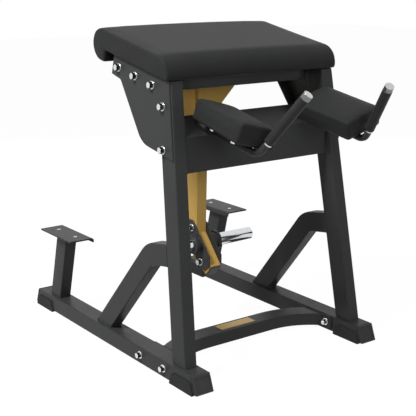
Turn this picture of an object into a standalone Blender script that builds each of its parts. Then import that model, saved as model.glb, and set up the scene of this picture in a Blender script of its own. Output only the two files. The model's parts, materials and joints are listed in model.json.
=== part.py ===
# Reverse hyperextension machine: a splayed steel frame with a torso pad, two arm pads with
# handles, two rear steps and a swinging pendulum arm that carries two weight sleeves.
# Sizes are in metres. X runs across the machine, +Y to its rear and +Z up. While the pieces are
# made, y = 0 is the top front edge of the base runners; the last step centres the machine.

from math import atan, atan2, cos, hypot, pi, radians, sin, sqrt, tan

import bmesh
import bpy
from mathutils import Matrix, Vector

# Fits
GAP = 0.0003
PIVOT_CLEARANCE = 0.0006

# Base runners
BASE_WIDTH = 0.860
RUNNER_LENGTH = 1.143
RUNNER_WIDTH = 0.076
RUNNER_HEIGHT = 0.064
GROUND_GAP = 0.005
END_SLANT = 0.0245
CAP_THICKNESS = 0.009
CAP_EDGE = 0.003
CAP_RIM = 0.009
CAP_RECESS = 0.0015
SHOE_WALL = 0.006
SHOE_CHEEK = 0.040
SHOE_LENGTH = 0.110
SHOE_FLARE = 0.016
SHOE_FRONT = 0.008
SHOE_TOP_RADIUS = 0.007
SHOE_SOLE_RADIUS = 0.003
SHOE_EDGE = 0.0015

# Frame tubes
TUBE_WIDTH = 0.050
TUBE_DEPTH = 0.080
TUBE_EDGE = 0.004
SPLAY = 0.0527
UPRIGHT_FRONT = 0.058
UPRIGHT_LEAN = 0.1525

# Braces from the runners up to the uprights
BRACE_FOOT = 0.560
BRACE_RISE = radians(49.3)
BRACE_HEIGHT = 0.443
BRACE_DROP = radians(9.0)
BRACE_RADIUS = 0.125
BRACE_DEPTH = 0.080

# Rear posts and steps
POST_FRONT = 0.971
POST_LEAN = tan(radians(15.27))
STEP_HEIGHT = 0.357
STEP_SHEET = 0.006
STEP_WIDTH = 0.108
STEP_LENGTH = 0.252
STEP_FLANGE = 0.018
STEP_SETBACK = 0.001

# Front crossbar
CROSSBAR_FRONT = 0.275
CROSSBAR_DEPTH = 0.080
CROSSBAR_HEIGHT = 0.050
CROSSBAR_BOTTOM = 0.015
CROSSBAR_BEND = 0.302
CROSSBAR_CURVE = 0.1907
END_PLATE = 0.006
END_PLATE_LENGTH = 0.212
END_PLATE_HEIGHT = 0.051
END_PLATE_AHEAD = 0.025
END_PLATE_RADIUS = 0.008
CROSSBAR_BOLT_SPACING = 0.152
NAMEPLATE_LENGTH = 0.165
NAMEPLATE_WIDTH = 0.047
NAMEPLATE_SHEET = 0.0015

# Torso pad
PAD_FRONT = 0.203
PAD_HEIGHT = 1.042
PAD_SLOPE = 0.190
PAD_WIDTH = 0.777
PAD_NOSE = -0.001
PAD_LENGTH = 0.501
PAD_THICKNESS = 0.0755
PAD_FRONT_RADIUS = 0.070
PAD_REAR_RADIUS = 0.0595
PAD_STEP = 0.090
PAD_EDGE = 0.011
PAD_CROWN = 0.004
PAD_TUCK = 0.003
PAD_HEEL = 0.004
BOARD_THICKNESS = 0.012
BOARD_MARGIN = 0.030

# Rails, gussets and the bent frame under the pad
RAIL_END = 0.362
RAIL_DEPTH = 0.080
GUSSET_SHEET = 0.005
GUSSET_SETBACK = 0.004
GUSSET_DROP = 0.262
GUSSET_FLANGE = 0.040
GUSSET_RAIL_CLEARANCE = 0.010
GUSSET_TOP_GAP = 0.001
GUSSET_OVERHANG = 0.007
GUSSET_LOBE = 0.074
GUSSET_LOBE_RADIUS = 0.004
GUSSET_ELBOW = 0.056
GUSSET_ELBOW_RADIUS = 0.018
GUSSET_KNEE_BACK = 0.196
GUSSET_KNEE_RISE = 0.034
GUSSET_KNEE_RADIUS = 0.095
RAIL_BOLT_MARGIN = 0.036
RAIL_BOLT_SPACING = 0.112
RAIL_BOLTS = 3
UPRIGHT_BOLT_DROPS = (0.087, 0.234)
UPRIGHT_BOLT_BACKS = (0.049, 0.060)
UNDERFRAME_SIDE_GAP = 0.003
UNDERFRAME_FRONT = 0.048
UNDERFRAME_REAR_GAP = 0.005
UNDERFRAME_RADIUS = 0.064
UNDERFRAME_HEIGHT = 0.050
UNDERFRAME_WALL = 0.025

# Folded cross member between the uprights
CROSS_BOTTOM = 0.727
CROSS_PANEL = 0.125
CROSS_LIP = 0.064
CROSS_SHEET = 0.005
CROSS_SETBACK = 0.012
CROSS_FLANGE = 0.056
CROSS_FLANGE_SETBACK = 0.005
CROSS_FLANGE_RADIUS = 0.006
CROSS_SPARE = 0.020

# Arm pads and handles
ARM_SPACING = 0.480
ARM_PITCH = radians(11.1)
ARM_ROLL = radians(16.1)
ARM_BEND_FRONT = -0.105
ARM_ENTRY = 0.0384
ARM_BEND_RADIUS = 0.050
ARM_TUBE_OVERHANG = 0.034
HANDLE_DIAMETER = 0.025
HANDLE_RISE = 0.209
HANDLE_REACH = 0.165
HANDLE_TOE = 0.062
GRIP_START = 0.058
GRIP_DIAMETER = 0.034
GRIP_CAP = 0.020
GRIP_RING = 0.005
GRIP_EDGE = 0.0015
GRIP_TRIM = 0.001
GRIP_CAP_EDGE = 0.004
ARM_PAD_WIDTH = 0.172
ARM_PAD_LENGTH = 0.280
ARM_PAD_THICKNESS = 0.074
ARM_PAD_CENTRE = 0.147
ARM_PAD_SHIFT = 0.006
ARM_PAD_RADIUS = 0.013
ARM_PAD_EDGE = 0.0104
ARM_PAD_CROWN = 0.004
ARM_PAD_TUCK = 0.005
ARM_BOARD = 0.010
ARM_BOARD_MARGIN = 0.016
MOUNT_PLATE = 0.004
MOUNT_PLATE_WIDTH = 0.100
MOUNT_PLATE_LENGTH = 0.170
MOUNT_BOLT_WIDTH = 0.080
MOUNT_BOLT_LENGTH = 0.128
MOUNT_BOLT_HEAD = 0.016
MOUNT_BOLT_HEIGHT = 0.007

# Pendulum
PIVOT_BACK = 0.565
PIVOT_DROP = 0.0868
SHAFT_DIAMETER = 0.030
HUB_DIAMETER = 0.060
BEARING_DIAMETER = 0.076
BEARING_LENGTH = 0.105
BEARING_PLATE = 0.008
BEARING_BOSS = 0.018
BEARING_BOSS_DIAMETER = 0.056
BEARING_TOP_GAP = 0.006
HANGER_SHEET = 0.008
HANGER_BACK = -0.018
HANGER_TOP_WIDTH = 0.330
HANGER_WIDTH = 0.206
HANGER_SHOULDER = 0.067
HANGER_BOTTOM = 0.295
HANGER_FOOT = 0.070
HANGER_FOOT_TAPER = 0.060
HANGER_CORNER = 0.006
HANGER_SHOULDER_RADIUS = 0.012
HANGER_HIP_RADIUS = 0.020
ARM_WIDTH = 0.050
ARM_DEPTH = 0.080
ARM_FRONT_TOP = -0.046
ARM_FRONT_MIDDLE = -0.025
ARM_KINK_DROP = 0.640
ARM_TOE = 0.099
ARM_TOE_DROP = 0.115
ARM_END_FACE = 0.052
ARM_END_SLANT = radians(-49.5)
ARM_CALF = 0.066
ARM_CAP = 0.004
ARM_CAP_INSET = 0.003
SIDE_PLATE = 0.006
SIDE_PLATE_OUTLINE = (
    (-0.008, -0.589, 0.005),
    (-0.028, -0.607, 0.014),
    (-0.048, -0.633, 0.010),
    (-0.121, -0.714, 0.006),
    (-0.121, -0.751, 0.004),
    (-0.085, -0.779, 0.004),
    (-0.062, -0.768, 0.004),
    (-0.034, -0.737, 0.010),
    (0.038, -0.657, 0.012),
    (0.038, -0.589, 0.006),
)
SIDE_PLATE_BOLTS = ((-0.006, -0.619), (-0.065, -0.747))
SLEEVE_DIAMETER = 0.050
SLEEVE_LENGTH = 0.200
SLEEVE_EDGE = 0.003
SLEEVE_BACK = -0.045
SLEEVE_DROP = 0.675
COLLAR_HUB_DIAMETER = 0.062
COLLAR_HUB = 0.019
COLLAR_DIAMETER = 0.078
COLLAR_DISC = 0.010

# Bolts
WASHER_DIAMETER = 0.028
WASHER_THICKNESS = 0.003
BOLT_SHANK = 0.010
BOLT_HEAD = 0.022
BOLT_HEAD_HEIGHT = 0.014

# Sizes that follow from the ones above
HALF_WIDTH = BASE_WIDTH / 2
RUNNER_TOP = GROUND_GAP + RUNNER_HEIGHT
TUBE_INSET = (RUNNER_WIDTH - TUBE_WIDTH) / 2
TUBE_CENTRE = HALF_WIDTH - RUNNER_WIDTH / 2
CROSS_FOLD = CROSS_BOTTOM + CROSS_PANEL
CROSS_TOP = CROSS_FOLD + CROSS_LIP
PAD_TILT = atan(PAD_SLOPE)
PIVOT_HEIGHT = PAD_HEIGHT + PAD_SLOPE * (PIVOT_BACK - PAD_FRONT) - PIVOT_DROP
SHEAR_ANGLE = atan(SPLAY)


def clear_scene():
    for obj in list(bpy.data.objects):
        bpy.data.objects.remove(obj, do_unlink=True)


def new_collection(name):
    collection = bpy.data.collections.new(name)
    bpy.context.scene.collection.children.link(collection)
    return collection


clear_scene()
machine = new_collection("Reverse hyperextension machine")
cutters = new_collection("Cutters")


def paint(obj, colour, roughness, metallic):
    material = bpy.data.materials.new(obj.name)
    material.use_nodes = True
    shader = material.node_tree.nodes["Principled BSDF"]
    shader.inputs["Base Color"].default_value = (*colour, 1)
    shader.inputs["Roughness"].default_value = roughness
    shader.inputs["Metallic"].default_value = metallic
    material.diffuse_color = (*colour, 1)
    obj.data.materials.clear()
    obj.data.materials.append(material)


def black_steel(obj):
    paint(obj, (0.035, 0.036, 0.036), 0.45, 0.2)


def gold_steel(obj):
    paint(obj, (0.36, 0.22, 0.06), 0.40, 0.4)


def bright_steel(obj):
    paint(obj, (0.80, 0.80, 0.80), 0.18, 1.0)


def black_rubber(obj):
    paint(obj, (0.020, 0.020, 0.021), 0.80, 0.0)


def black_leather(obj):
    paint(obj, (0.030, 0.030, 0.031), 0.50, 0.0)


def plywood(obj):
    paint(obj, (0.12, 0.10, 0.08), 0.85, 0.0)


def tidy_mesh(mesh):
    """Welds loose caps, joins flat triangles into whole faces and turns every face outwards."""
    work = bmesh.new()
    work.from_mesh(mesh)
    bmesh.ops.remove_doubles(work, verts=work.verts, dist=1e-6)
    bmesh.ops.dissolve_limit(work, angle_limit=radians(0.2), verts=work.verts, edges=work.edges)
    bmesh.ops.recalc_face_normals(work, faces=work.faces)
    work.to_mesh(mesh)
    work.free()


def solid_from_curve(curve_object, collection=machine):
    """The mesh object of a curve, which it replaces."""
    bpy.context.view_layer.update()
    graph = bpy.context.evaluated_depsgraph_get()
    mesh = bpy.data.meshes.new_from_object(curve_object.evaluated_get(graph))
    name = curve_object.name
    matrix = curve_object.matrix_world.copy()
    curve = curve_object.data
    bpy.data.objects.remove(curve_object, do_unlink=True)
    bpy.data.curves.remove(curve)
    tidy_mesh(mesh)
    obj = bpy.data.objects.new(name, mesh)
    mesh.name = name
    collection.objects.link(obj)
    obj.matrix_world = matrix
    return obj


def rounded(corners, steps=5):
    """An outline through corners given as (x, y) or (x, y, radius), with an arc at each radius."""
    points = []
    for index, corner in enumerate(corners):
        here = Vector(corner[:2])
        radius = corner[2] if len(corner) > 2 else 0
        if not radius:
            points.append(here)
            continue
        before = (Vector(corners[index - 1][:2]) - here).normalized()
        after = (Vector(corners[(index + 1) % len(corners)][:2]) - here).normalized()
        half = before.angle(after) / 2
        centre = here + (before + after).normalized() * (radius / sin(half))
        first = here + before * (radius / tan(half)) - centre
        last = here + after * (radius / tan(half)) - centre
        turn = first.angle_signed(last)
        for step in range(steps + 1):
            angle = -turn * step / steps
            points.append(centre + Matrix.Rotation(angle, 2) @ first)
    return points


def arc(centre, radii, start, end, steps):
    """Points of an arc or a quarter of an ellipse, with its angles in degrees."""
    points = []
    for step in range(steps + 1):
        angle = radians(start + (end - start) * step / steps)
        points.append(Vector((centre[0] + radii[0] * cos(angle), centre[1] + radii[1] * sin(angle))))
    return points


def outline_solid(name, outline, thickness, collection=machine):
    """A flat outline made solid, centred on its own plane, still lying in XY."""
    curve = bpy.data.curves.new(name, "CURVE")
    curve.dimensions = "2D"
    curve.fill_mode = "BOTH"
    curve.extrude = thickness / 2
    spline = curve.splines.new("POLY")
    spline.points.add(len(outline) - 1)
    for point, place in zip(spline.points, outline):
        point.co = (place[0], place[1], 0, 1)
    spline.use_cyclic_u = True
    obj = bpy.data.objects.new(name, curve)
    collection.objects.link(obj)
    return solid_from_curve(obj, collection)


def soften(obj, width, segments=2, angle=35):
    bevel = obj.modifiers.new("Rounded edges", "BEVEL")
    bevel.width = width
    bevel.segments = segments
    bevel.limit_method = "ANGLE"
    bevel.angle_limit = radians(angle)
    bevel.use_clamp_overlap = True
    return bevel


def smooth(obj, angle=40):
    obj.data.shade_smooth()
    obj.data.set_sharp_from_angle(angle=radians(angle))


def cut(obj, cutter, operation="DIFFERENCE"):
    boolean = obj.modifiers.new(cutter.name, "BOOLEAN")
    boolean.operation = operation
    boolean.object = cutter
    boolean.solver = "EXACT"
    cutter.hide_render = True
    cutter.display_type = "WIRE"


def side_solid(name, outline, thickness, x, collection=machine):
    """An outline drawn in the side view, as (y, z), made solid and centred on x."""
    obj = outline_solid(name, outline, thickness, collection)
    obj.rotation_euler = (radians(90), 0, radians(90))
    obj.location = (x, 0, 0)
    return obj


def lean_in(obj, side, foot=RUNNER_TOP):
    """Leans a piece made by side_solid towards the middle as it rises, its foot staying flat."""
    shear = Matrix.Identity(4)
    shear[2][1] = -side * SPLAY
    shear[2][3] = side * SPLAY * foot
    obj.data.transform(shear)


def box(name, size, location, collection=machine):
    work = bmesh.new()
    bmesh.ops.create_cube(work, size=1)
    bmesh.ops.scale(work, vec=size, verts=work.verts)
    mesh = bpy.data.meshes.new(name)
    work.to_mesh(mesh)
    work.free()
    obj = bpy.data.objects.new(name, mesh)
    obj.location = location
    collection.objects.link(obj)
    return obj


def turned(name, profile, steps, collection=machine):
    """A profile of (radius, height), outer side from top to bottom, turned about local Z."""
    work = bmesh.new()
    verts = [work.verts.new((radius, 0, height)) for radius, height in profile]
    for first, second in zip(verts, verts[1:]):
        work.edges.new((first, second))
    mesh = bpy.data.meshes.new(name)
    work.to_mesh(mesh)
    work.free()
    obj = bpy.data.objects.new(name, mesh)
    collection.objects.link(obj)
    screw = obj.modifiers.new("Turned", "SCREW")
    screw.steps = steps
    screw.render_steps = steps
    screw.use_merge_vertices = True
    screw.merge_threshold = 0.00005
    screw.use_smooth_shade = True
    return obj


def ring_profile(bore, sections):
    """A closed profile for a stepped ring from its sections of (outer radius, from, to)."""
    profile = [(bore, sections[-1][2])]
    for radius, low, high in reversed(sections):
        profile += [(radius, high), (radius, low)]
    profile += [(bore, sections[0][1]), (bore, sections[-1][2])]
    return profile


def cylinder(name, radius, length, segments, collection=machine):
    work = bmesh.new()
    bmesh.ops.create_cone(
        work, cap_ends=True, segments=segments, radius1=radius, radius2=radius, depth=length
    )
    mesh = bpy.data.meshes.new(name)
    work.to_mesh(mesh)
    work.free()
    obj = bpy.data.objects.new(name, mesh)
    collection.objects.link(obj)
    smooth(obj)
    return obj


def disc_group(name, radius, depth, segments, seats, height):
    """Discs or hexagons on the given seats, each (place, outward direction), as one cutter."""
    work = bmesh.new()
    for place, direction in seats:
        turn = Vector(direction).to_track_quat("Z", "Y").to_matrix().to_4x4()
        bmesh.ops.create_cone(
            work,
            cap_ends=True,
            segments=segments,
            radius1=radius,
            radius2=radius,
            depth=depth,
            matrix=Matrix.Translation(place) @ turn @ Matrix.Translation((0, 0, height)),
        )
    mesh = bpy.data.meshes.new(name)
    work.to_mesh(mesh)
    work.free()
    obj = bpy.data.objects.new(name, mesh)
    cutters.objects.link(obj)
    return obj


def join_bolt_heads(obj, seats, sink, parent=None):
    """Joins a washer and a hexagon head or nut to obj at each seat, the washers sunk a little
    where obj is the plate under them."""
    washers = disc_group(
        f"{obj.name}_washers",
        WASHER_DIAMETER / 2,
        WASHER_THICKNESS + sink,
        14,
        seats,
        (WASHER_THICKNESS - sink) / 2,
    )
    overlap = WASHER_THICKNESS / 2
    heads = disc_group(
        f"{obj.name}_bolt_heads",
        BOLT_HEAD / 2,
        BOLT_HEAD_HEIGHT + overlap,
        6,
        seats,
        WASHER_THICKNESS + (BOLT_HEAD_HEIGHT - overlap) / 2,
    )
    for group in (washers, heads):
        group.parent = parent
        cut(obj, group, "UNION")


def through_bolt(name, start, end, parent=None):
    """A bolt along X from one clamped face to the other, with its head, nut and washers."""
    side = 1 if end[0] > start[0] else -1
    first = Vector((start[0] - side * GAP, *start[1:]))
    last = Vector((end[0] + side * GAP, *end[1:]))
    bolt = cylinder(name, BOLT_SHANK / 2, (last - first).length + BOLT_HEAD_HEIGHT, 14)
    bolt.data.transform(Matrix.Rotation(radians(90), 4, "Y"))
    middle = (first + last) / 2
    bolt.location = middle
    bolt.parent = parent
    join_bolt_heads(bolt, [(first, (-side, 0, 0)), (last, (side, 0, 0))], 0, parent)
    bright_steel(bolt)


def bolt_holes(obj, places, parent=None):
    """Cuts clearance holes along X through obj at the given (y, z) places."""
    holes = disc_group(
        f"{obj.name}_bolt_holes",
        BOLT_SHANK / 2 + GAP,
        2 * BASE_WIDTH,
        14,
        [((0, y, z), (1, 0, 0)) for y, z in places],
        0,
    )
    holes.parent = parent
    cut(obj, holes)


def upright_front(z):
    return UPRIGHT_FRONT + UPRIGHT_LEAN * (z - RUNNER_TOP)


def tube_outer(z):
    """How far from the middle the outer face of an upright, brace or rail is at height z."""
    return HALF_WIDTH - TUBE_INSET - SPLAY * (z - RUNNER_TOP)


def pad_underside(y):
    return PAD_HEIGHT + PAD_SLOPE * (y - PAD_FRONT)


def under_pad(run, drop):
    """The (y, z) of a place given by its distance along the pad's underside and below it."""
    y = PAD_FRONT + run * cos(PAD_TILT) + drop * sin(PAD_TILT)
    z = PAD_HEIGHT + run * sin(PAD_TILT) - drop * cos(PAD_TILT)
    return y, z


def upright_meets_pad(back):
    """Where the line at this distance behind the upright's front meets the pad's underside."""
    lowered = PAD_HEIGHT - GAP
    start = UPRIGHT_FRONT + back - UPRIGHT_LEAN * RUNNER_TOP
    z = (lowered + PAD_SLOPE * (start - PAD_FRONT)) / (1 - PAD_SLOPE * UPRIGHT_LEAN)
    return upright_front(z) + back, z


# Base: runners with slanted ends, their end caps and rubber shoes.


def runner_outline(front, rear):
    """The side view between two slanted ends, given at the top edge."""
    return [
        (front, RUNNER_TOP),
        (front - END_SLANT, GROUND_GAP),
        (rear + END_SLANT, GROUND_GAP),
        (rear, RUNNER_TOP),
    ]


def make_runner(side, word):
    inner_front = CAP_THICKNESS + GAP
    inner_rear = RUNNER_LENGTH - CAP_THICKNESS - GAP
    outline = runner_outline(inner_front, inner_rear)
    runner = side_solid(f"{word}_runner", outline, RUNNER_WIDTH, side * TUBE_CENTRE)
    soften(runner, TUBE_EDGE)
    bolt_holes(runner, crossbar_bolt_places())
    black_steel(runner)


def make_end_cap(side, word, end):
    """A moulded plug with a raised rim round its face; the front and rear ones are mirrored."""
    names = {1: "front", -1: "rear"}
    start = 0 if end > 0 else RUNNER_LENGTH
    inward = end * CAP_THICKNESS
    outline = [
        (start, RUNNER_TOP),
        (start - end * END_SLANT, GROUND_GAP),
        (start - end * END_SLANT + inward, GROUND_GAP),
        (start + inward, RUNNER_TOP),
    ]
    cap = side_solid(f"{word}_{names[end]}_end_cap", outline, RUNNER_WIDTH, side * TUBE_CENTRE)
    soften(cap, CAP_EDGE)
    face_height = hypot(RUNNER_HEIGHT, END_SLANT)
    recess = box(
        f"{cap.name}_recess",
        (RUNNER_WIDTH - 2 * CAP_RIM, 2 * CAP_RECESS, face_height - 2 * CAP_RIM),
        (side * TUBE_CENTRE, start - end * END_SLANT / 2, GROUND_GAP + RUNNER_HEIGHT / 2),
        cutters,
    )
    recess.rotation_euler = (-end * atan2(END_SLANT, RUNNER_HEIGHT), 0, 0)
    cut(cap, recess)
    black_rubber(cap)


def make_shoe(side, word, end):
    """A rubber shoe that wraps the underside and the lower sides of a runner near its end."""
    names = {1: "front", -1: "rear"}
    start = SHOE_FRONT if end > 0 else RUNNER_LENGTH - SHOE_FRONT
    width = RUNNER_WIDTH + 2 * (SHOE_WALL + GAP)
    top = GROUND_GAP + SHOE_CHEEK
    outline = rounded(
        [
            (start, top, SHOE_TOP_RADIUS),
            (start - end * SHOE_FLARE, 0, SHOE_SOLE_RADIUS),
            (start + end * (SHOE_LENGTH + SHOE_FLARE), 0, SHOE_SOLE_RADIUS),
            (start + end * SHOE_LENGTH, top, SHOE_TOP_RADIUS),
        ],
        steps=3,
    )
    name = f"{word}_{names[end]}_shoe"
    shoe = side_solid(name, outline, width, side * TUBE_CENTRE)
    channel = box(
        f"{name}_channel",
        (RUNNER_WIDTH + 2 * GAP, 2 * SHOE_LENGTH, 2 * SHOE_CHEEK),
        (side * TUBE_CENTRE, start + end * SHOE_LENGTH / 2, GROUND_GAP - GAP + SHOE_CHEEK),
        cutters,
    )
    cut(shoe, channel)
    soften(shoe, SHOE_EDGE, segments=1)
    black_rubber(shoe)


# Side frames: uprights, braces, rails and gussets, all leaning inwards together.


def make_upright(side, word):
    top_front = upright_meets_pad(0)
    top_rear = upright_meets_pad(TUBE_DEPTH)
    foot = RUNNER_TOP + GAP
    outline = [
        (upright_front(foot), foot),
        (upright_front(foot) + TUBE_DEPTH, foot),
        top_rear,
        top_front,
    ]
    upright = side_solid(f"{word}_upright", outline, TUBE_WIDTH, side * TUBE_CENTRE)
    lean_in(upright, side)
    soften(upright, TUBE_EDGE)
    black_steel(upright)


def brace_centreline():
    """The foot, the bend and the upper end of the brace, halfway through its depth."""
    foot_half = BRACE_DEPTH / 2 / sin(BRACE_RISE)
    foot = Vector((BRACE_FOOT + foot_half, RUNNER_TOP + GAP))
    upper = Vector((upright_front(BRACE_HEIGHT) + TUBE_DEPTH + GAP, BRACE_HEIGHT))
    rise = Vector((-cos(BRACE_RISE), sin(BRACE_RISE)))
    drop = Vector((cos(BRACE_DROP), -sin(BRACE_DROP)))
    across = upper - foot
    along = (across.x * drop.y - across.y * drop.x) / (rise.x * drop.y - rise.y * drop.x)
    return foot, foot + rise * along, upper


def make_brace(side, word):
    """A tube bent once: it rises from the runner and turns to meet the upright squarely."""
    foot, bend, upper = brace_centreline()
    rise = (bend - foot).normalized()
    level = (upper - bend).normalized()
    half = BRACE_DEPTH / 2
    outward = Vector((rise.y, -rise.x))
    above = Vector((level.y, -level.x))
    if above.y < 0:
        above = -above
    if outward.x < 0:
        outward = -outward
    ground = RUNNER_TOP + GAP
    outer_foot = (foot.x + half / sin(BRACE_RISE), ground)
    inner_foot = (foot.x - half / sin(BRACE_RISE), ground)
    mitre = (outward + above).normalized() * (half / cos(outward.angle(above) / 2))
    outer_bend = bend + mitre
    inner_bend = bend - mitre

    def at_upright(start):
        gap_line = UPRIGHT_FRONT + TUBE_DEPTH + GAP - UPRIGHT_LEAN * RUNNER_TOP
        reach = (gap_line + UPRIGHT_LEAN * start.y - start.x) / (level.x - UPRIGHT_LEAN * level.y)
        return start + level * reach

    outline = rounded(
        [
            outer_foot,
            (*outer_bend, BRACE_RADIUS),
            tuple(at_upright(outer_bend)),
            tuple(at_upright(inner_bend)),
            (*inner_bend, BRACE_RADIUS - BRACE_DEPTH),
            inner_foot,
        ],
        steps=8,
    )
    brace = side_solid(f"{word}_brace", outline, TUBE_WIDTH, side * TUBE_CENTRE)
    lean_in(brace, side)
    soften(brace, TUBE_EDGE)
    smooth(brace)
    black_steel(brace)


def make_rail(side, word):
    """The tube under the pad's edge, butted against the rear face of its upright."""
    top_front = upright_meets_pad(TUBE_DEPTH + GAP)
    height = RAIL_DEPTH / cos(PAD_TILT)
    lean_per_drop = UPRIGHT_LEAN / (1 - PAD_SLOPE * UPRIGHT_LEAN)
    bottom_front = (
        top_front[0] - lean_per_drop * height,
        top_front[1] - height - PAD_SLOPE * lean_per_drop * height,
    )
    outline = [
        top_front,
        bottom_front,
        under_pad(RAIL_END, RAIL_DEPTH + GAP),
        under_pad(RAIL_END, GAP),
    ]
    rail = side_solid(f"{word}_pad_rail", outline, TUBE_WIDTH, side * TUBE_CENTRE)
    lean_in(rail, side)
    soften(rail, TUBE_EDGE)
    black_steel(rail)


def gusset_corners():
    """The gusset's outline in the side view, from its top front corner round by the rear."""
    front_top = upright_meets_pad(GUSSET_SETBACK)
    front_bottom_z = PAD_HEIGHT - GUSSET_DROP
    front_bottom_y = upright_front(front_bottom_z) + GUSSET_SETBACK
    rear_top = under_pad(RAIL_END + GUSSET_OVERHANG, GUSSET_TOP_GAP)
    rear_bottom = under_pad(RAIL_END + GUSSET_OVERHANG, GUSSET_LOBE)
    elbow = under_pad(RAIL_END - GUSSET_ELBOW, GUSSET_LOBE + GUSSET_LOBE_RADIUS)
    knee = (front_bottom_y + GUSSET_KNEE_BACK, front_bottom_z + GUSSET_KNEE_RISE)
    return [
        (front_top[0], front_top[1] - GUSSET_TOP_GAP),
        rear_top,
        (*rear_bottom, GUSSET_LOBE_RADIUS),
        (*elbow, GUSSET_ELBOW_RADIUS),
        (*knee, GUSSET_KNEE_RADIUS),
        (front_bottom_y, front_bottom_z),
    ]


def inset(path, distance):
    """The path moved to its right-hand side by a distance."""
    moved = []
    for index, point in enumerate(path):
        before = path[max(0, index - 1)]
        after = path[min(len(path) - 1, index + 1)]
        along = (after - before).normalized()
        moved.append(point + Vector((along.y, -along.x)) * distance)
    return moved


def make_gusset(side, word):
    """A flat plate on the outside of the upright and rail, its rear edge flanged inwards."""
    arc_steps = 6
    outline = rounded(gusset_corners(), steps=arc_steps)
    face = TUBE_CENTRE + TUBE_WIDTH / 2 + GAP + GUSSET_SHEET / 2
    gusset = side_solid(f"{word}_gusset", outline, GUSSET_SHEET, side * face)
    lean_in(gusset, side)
    elbow_end = 2 + 2 * arc_steps + 1
    descent = (outline[elbow_end + 1] - outline[elbow_end]).normalized()
    below_rail = outline[elbow_end] + descent * GUSSET_RAIL_CLEARANCE
    rear_edge = [below_rail, *outline[elbow_end + 1 : -1]]
    step_in = 0.0005
    strip = inset(rear_edge, step_in) + inset(rear_edge, step_in + GUSSET_SHEET)[::-1]
    middle = face - GUSSET_FLANGE / 2
    flange = side_solid(f"{word}_gusset_flange", strip, GUSSET_FLANGE, side * middle, cutters)
    lean_in(flange, side)
    cut(gusset, flange, "UNION")
    join_bolt_heads(gusset, gusset_bolt_seats(side), GUSSET_SHEET / 2)
    black_steel(gusset)


def outward(side):
    return side * cos(SHEAR_ANGLE), 0, sin(SHEAR_ANGLE)


def gusset_bolt_seats(side):
    """Three bolts along the rail and two into the upright."""
    middle = RAIL_DEPTH / 2
    first = RAIL_END - RAIL_BOLT_MARGIN
    places = [under_pad(first - step * RAIL_BOLT_SPACING, middle) for step in range(RAIL_BOLTS)]
    for drop, back in zip(UPRIGHT_BOLT_DROPS, UPRIGHT_BOLT_BACKS):
        z = PAD_HEIGHT - drop
        places.append((upright_front(z) + back, z))
    seats = []
    for y, z in places:
        x = tube_outer(z) + (GAP + GUSSET_SHEET) / cos(SHEAR_ANGLE)
        seats.append(((side * x, y, z), outward(side)))
    return seats


# Rear posts with their steps.


def make_post(side, word):
    foot = RUNNER_TOP + GAP
    head = STEP_HEIGHT - STEP_SHEET - GAP
    shift = POST_LEAN * (head - foot)
    outline = [
        (POST_FRONT, foot),
        (POST_FRONT + TUBE_DEPTH, foot),
        (POST_FRONT + TUBE_DEPTH - shift, head),
        (POST_FRONT - shift, head),
    ]
    post = side_solid(f"{word}_post", outline, TUBE_WIDTH, side * TUBE_CENTRE)
    soften(post, TUBE_EDGE)
    black_steel(post)


def step_middle():
    head = STEP_HEIGHT - STEP_SHEET
    return POST_FRONT + TUBE_DEPTH / 2 - POST_LEAN * (head - RUNNER_TOP) + STEP_SETBACK


def make_step(side, word):
    """A folded plate: its inner long edge turns down in a small bend."""
    half = STEP_WIDTH / 2
    bend = 2 * STEP_SHEET
    profile = rounded(
        [
            (-half, 0),
            (half, 0),
            (half, -STEP_SHEET),
            (-half + STEP_SHEET, -STEP_SHEET, STEP_SHEET),
            (-half + STEP_SHEET, -STEP_FLANGE),
            (-half, -STEP_FLANGE),
        ],
        steps=3,
    )
    profile = [point for point in profile if point != Vector((-half, 0))]
    profile += arc((-half + bend, -bend), (bend, bend), 180, 90, 4)
    step = outline_solid(f"{word}_step_plate", profile, STEP_LENGTH)
    step.data.transform(Matrix.Rotation(radians(90), 4, "X"))
    if side < 0:
        step.data.transform(Matrix.Rotation(pi, 4, "Z"))
    step.location = (side * TUBE_CENTRE, step_middle(), STEP_HEIGHT)
    smooth(step)
    black_steel(step)


# Front crossbar, bowed to the rear, with its end plates and bare nameplate.


def crossbar_edge(back, reach, steps=7):
    """Half of one long edge in plan, from the middle out to where it meets the end plate."""
    centre_y = CROSSBAR_FRONT + CROSSBAR_DEPTH / 2 - CROSSBAR_BEND
    radius = CROSSBAR_BEND + back
    straight = reach - CROSSBAR_CURVE
    sweep = CROSSBAR_CURVE / radius
    points = []
    for step in range(steps + 1):
        x = sweep * step / steps
        points.append(Vector((straight + radius * x, centre_y + radius * sqrt(1 - x * x))))
    return points


def crossbar_end_y():
    return CROSSBAR_FRONT - END_PLATE_AHEAD


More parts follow.
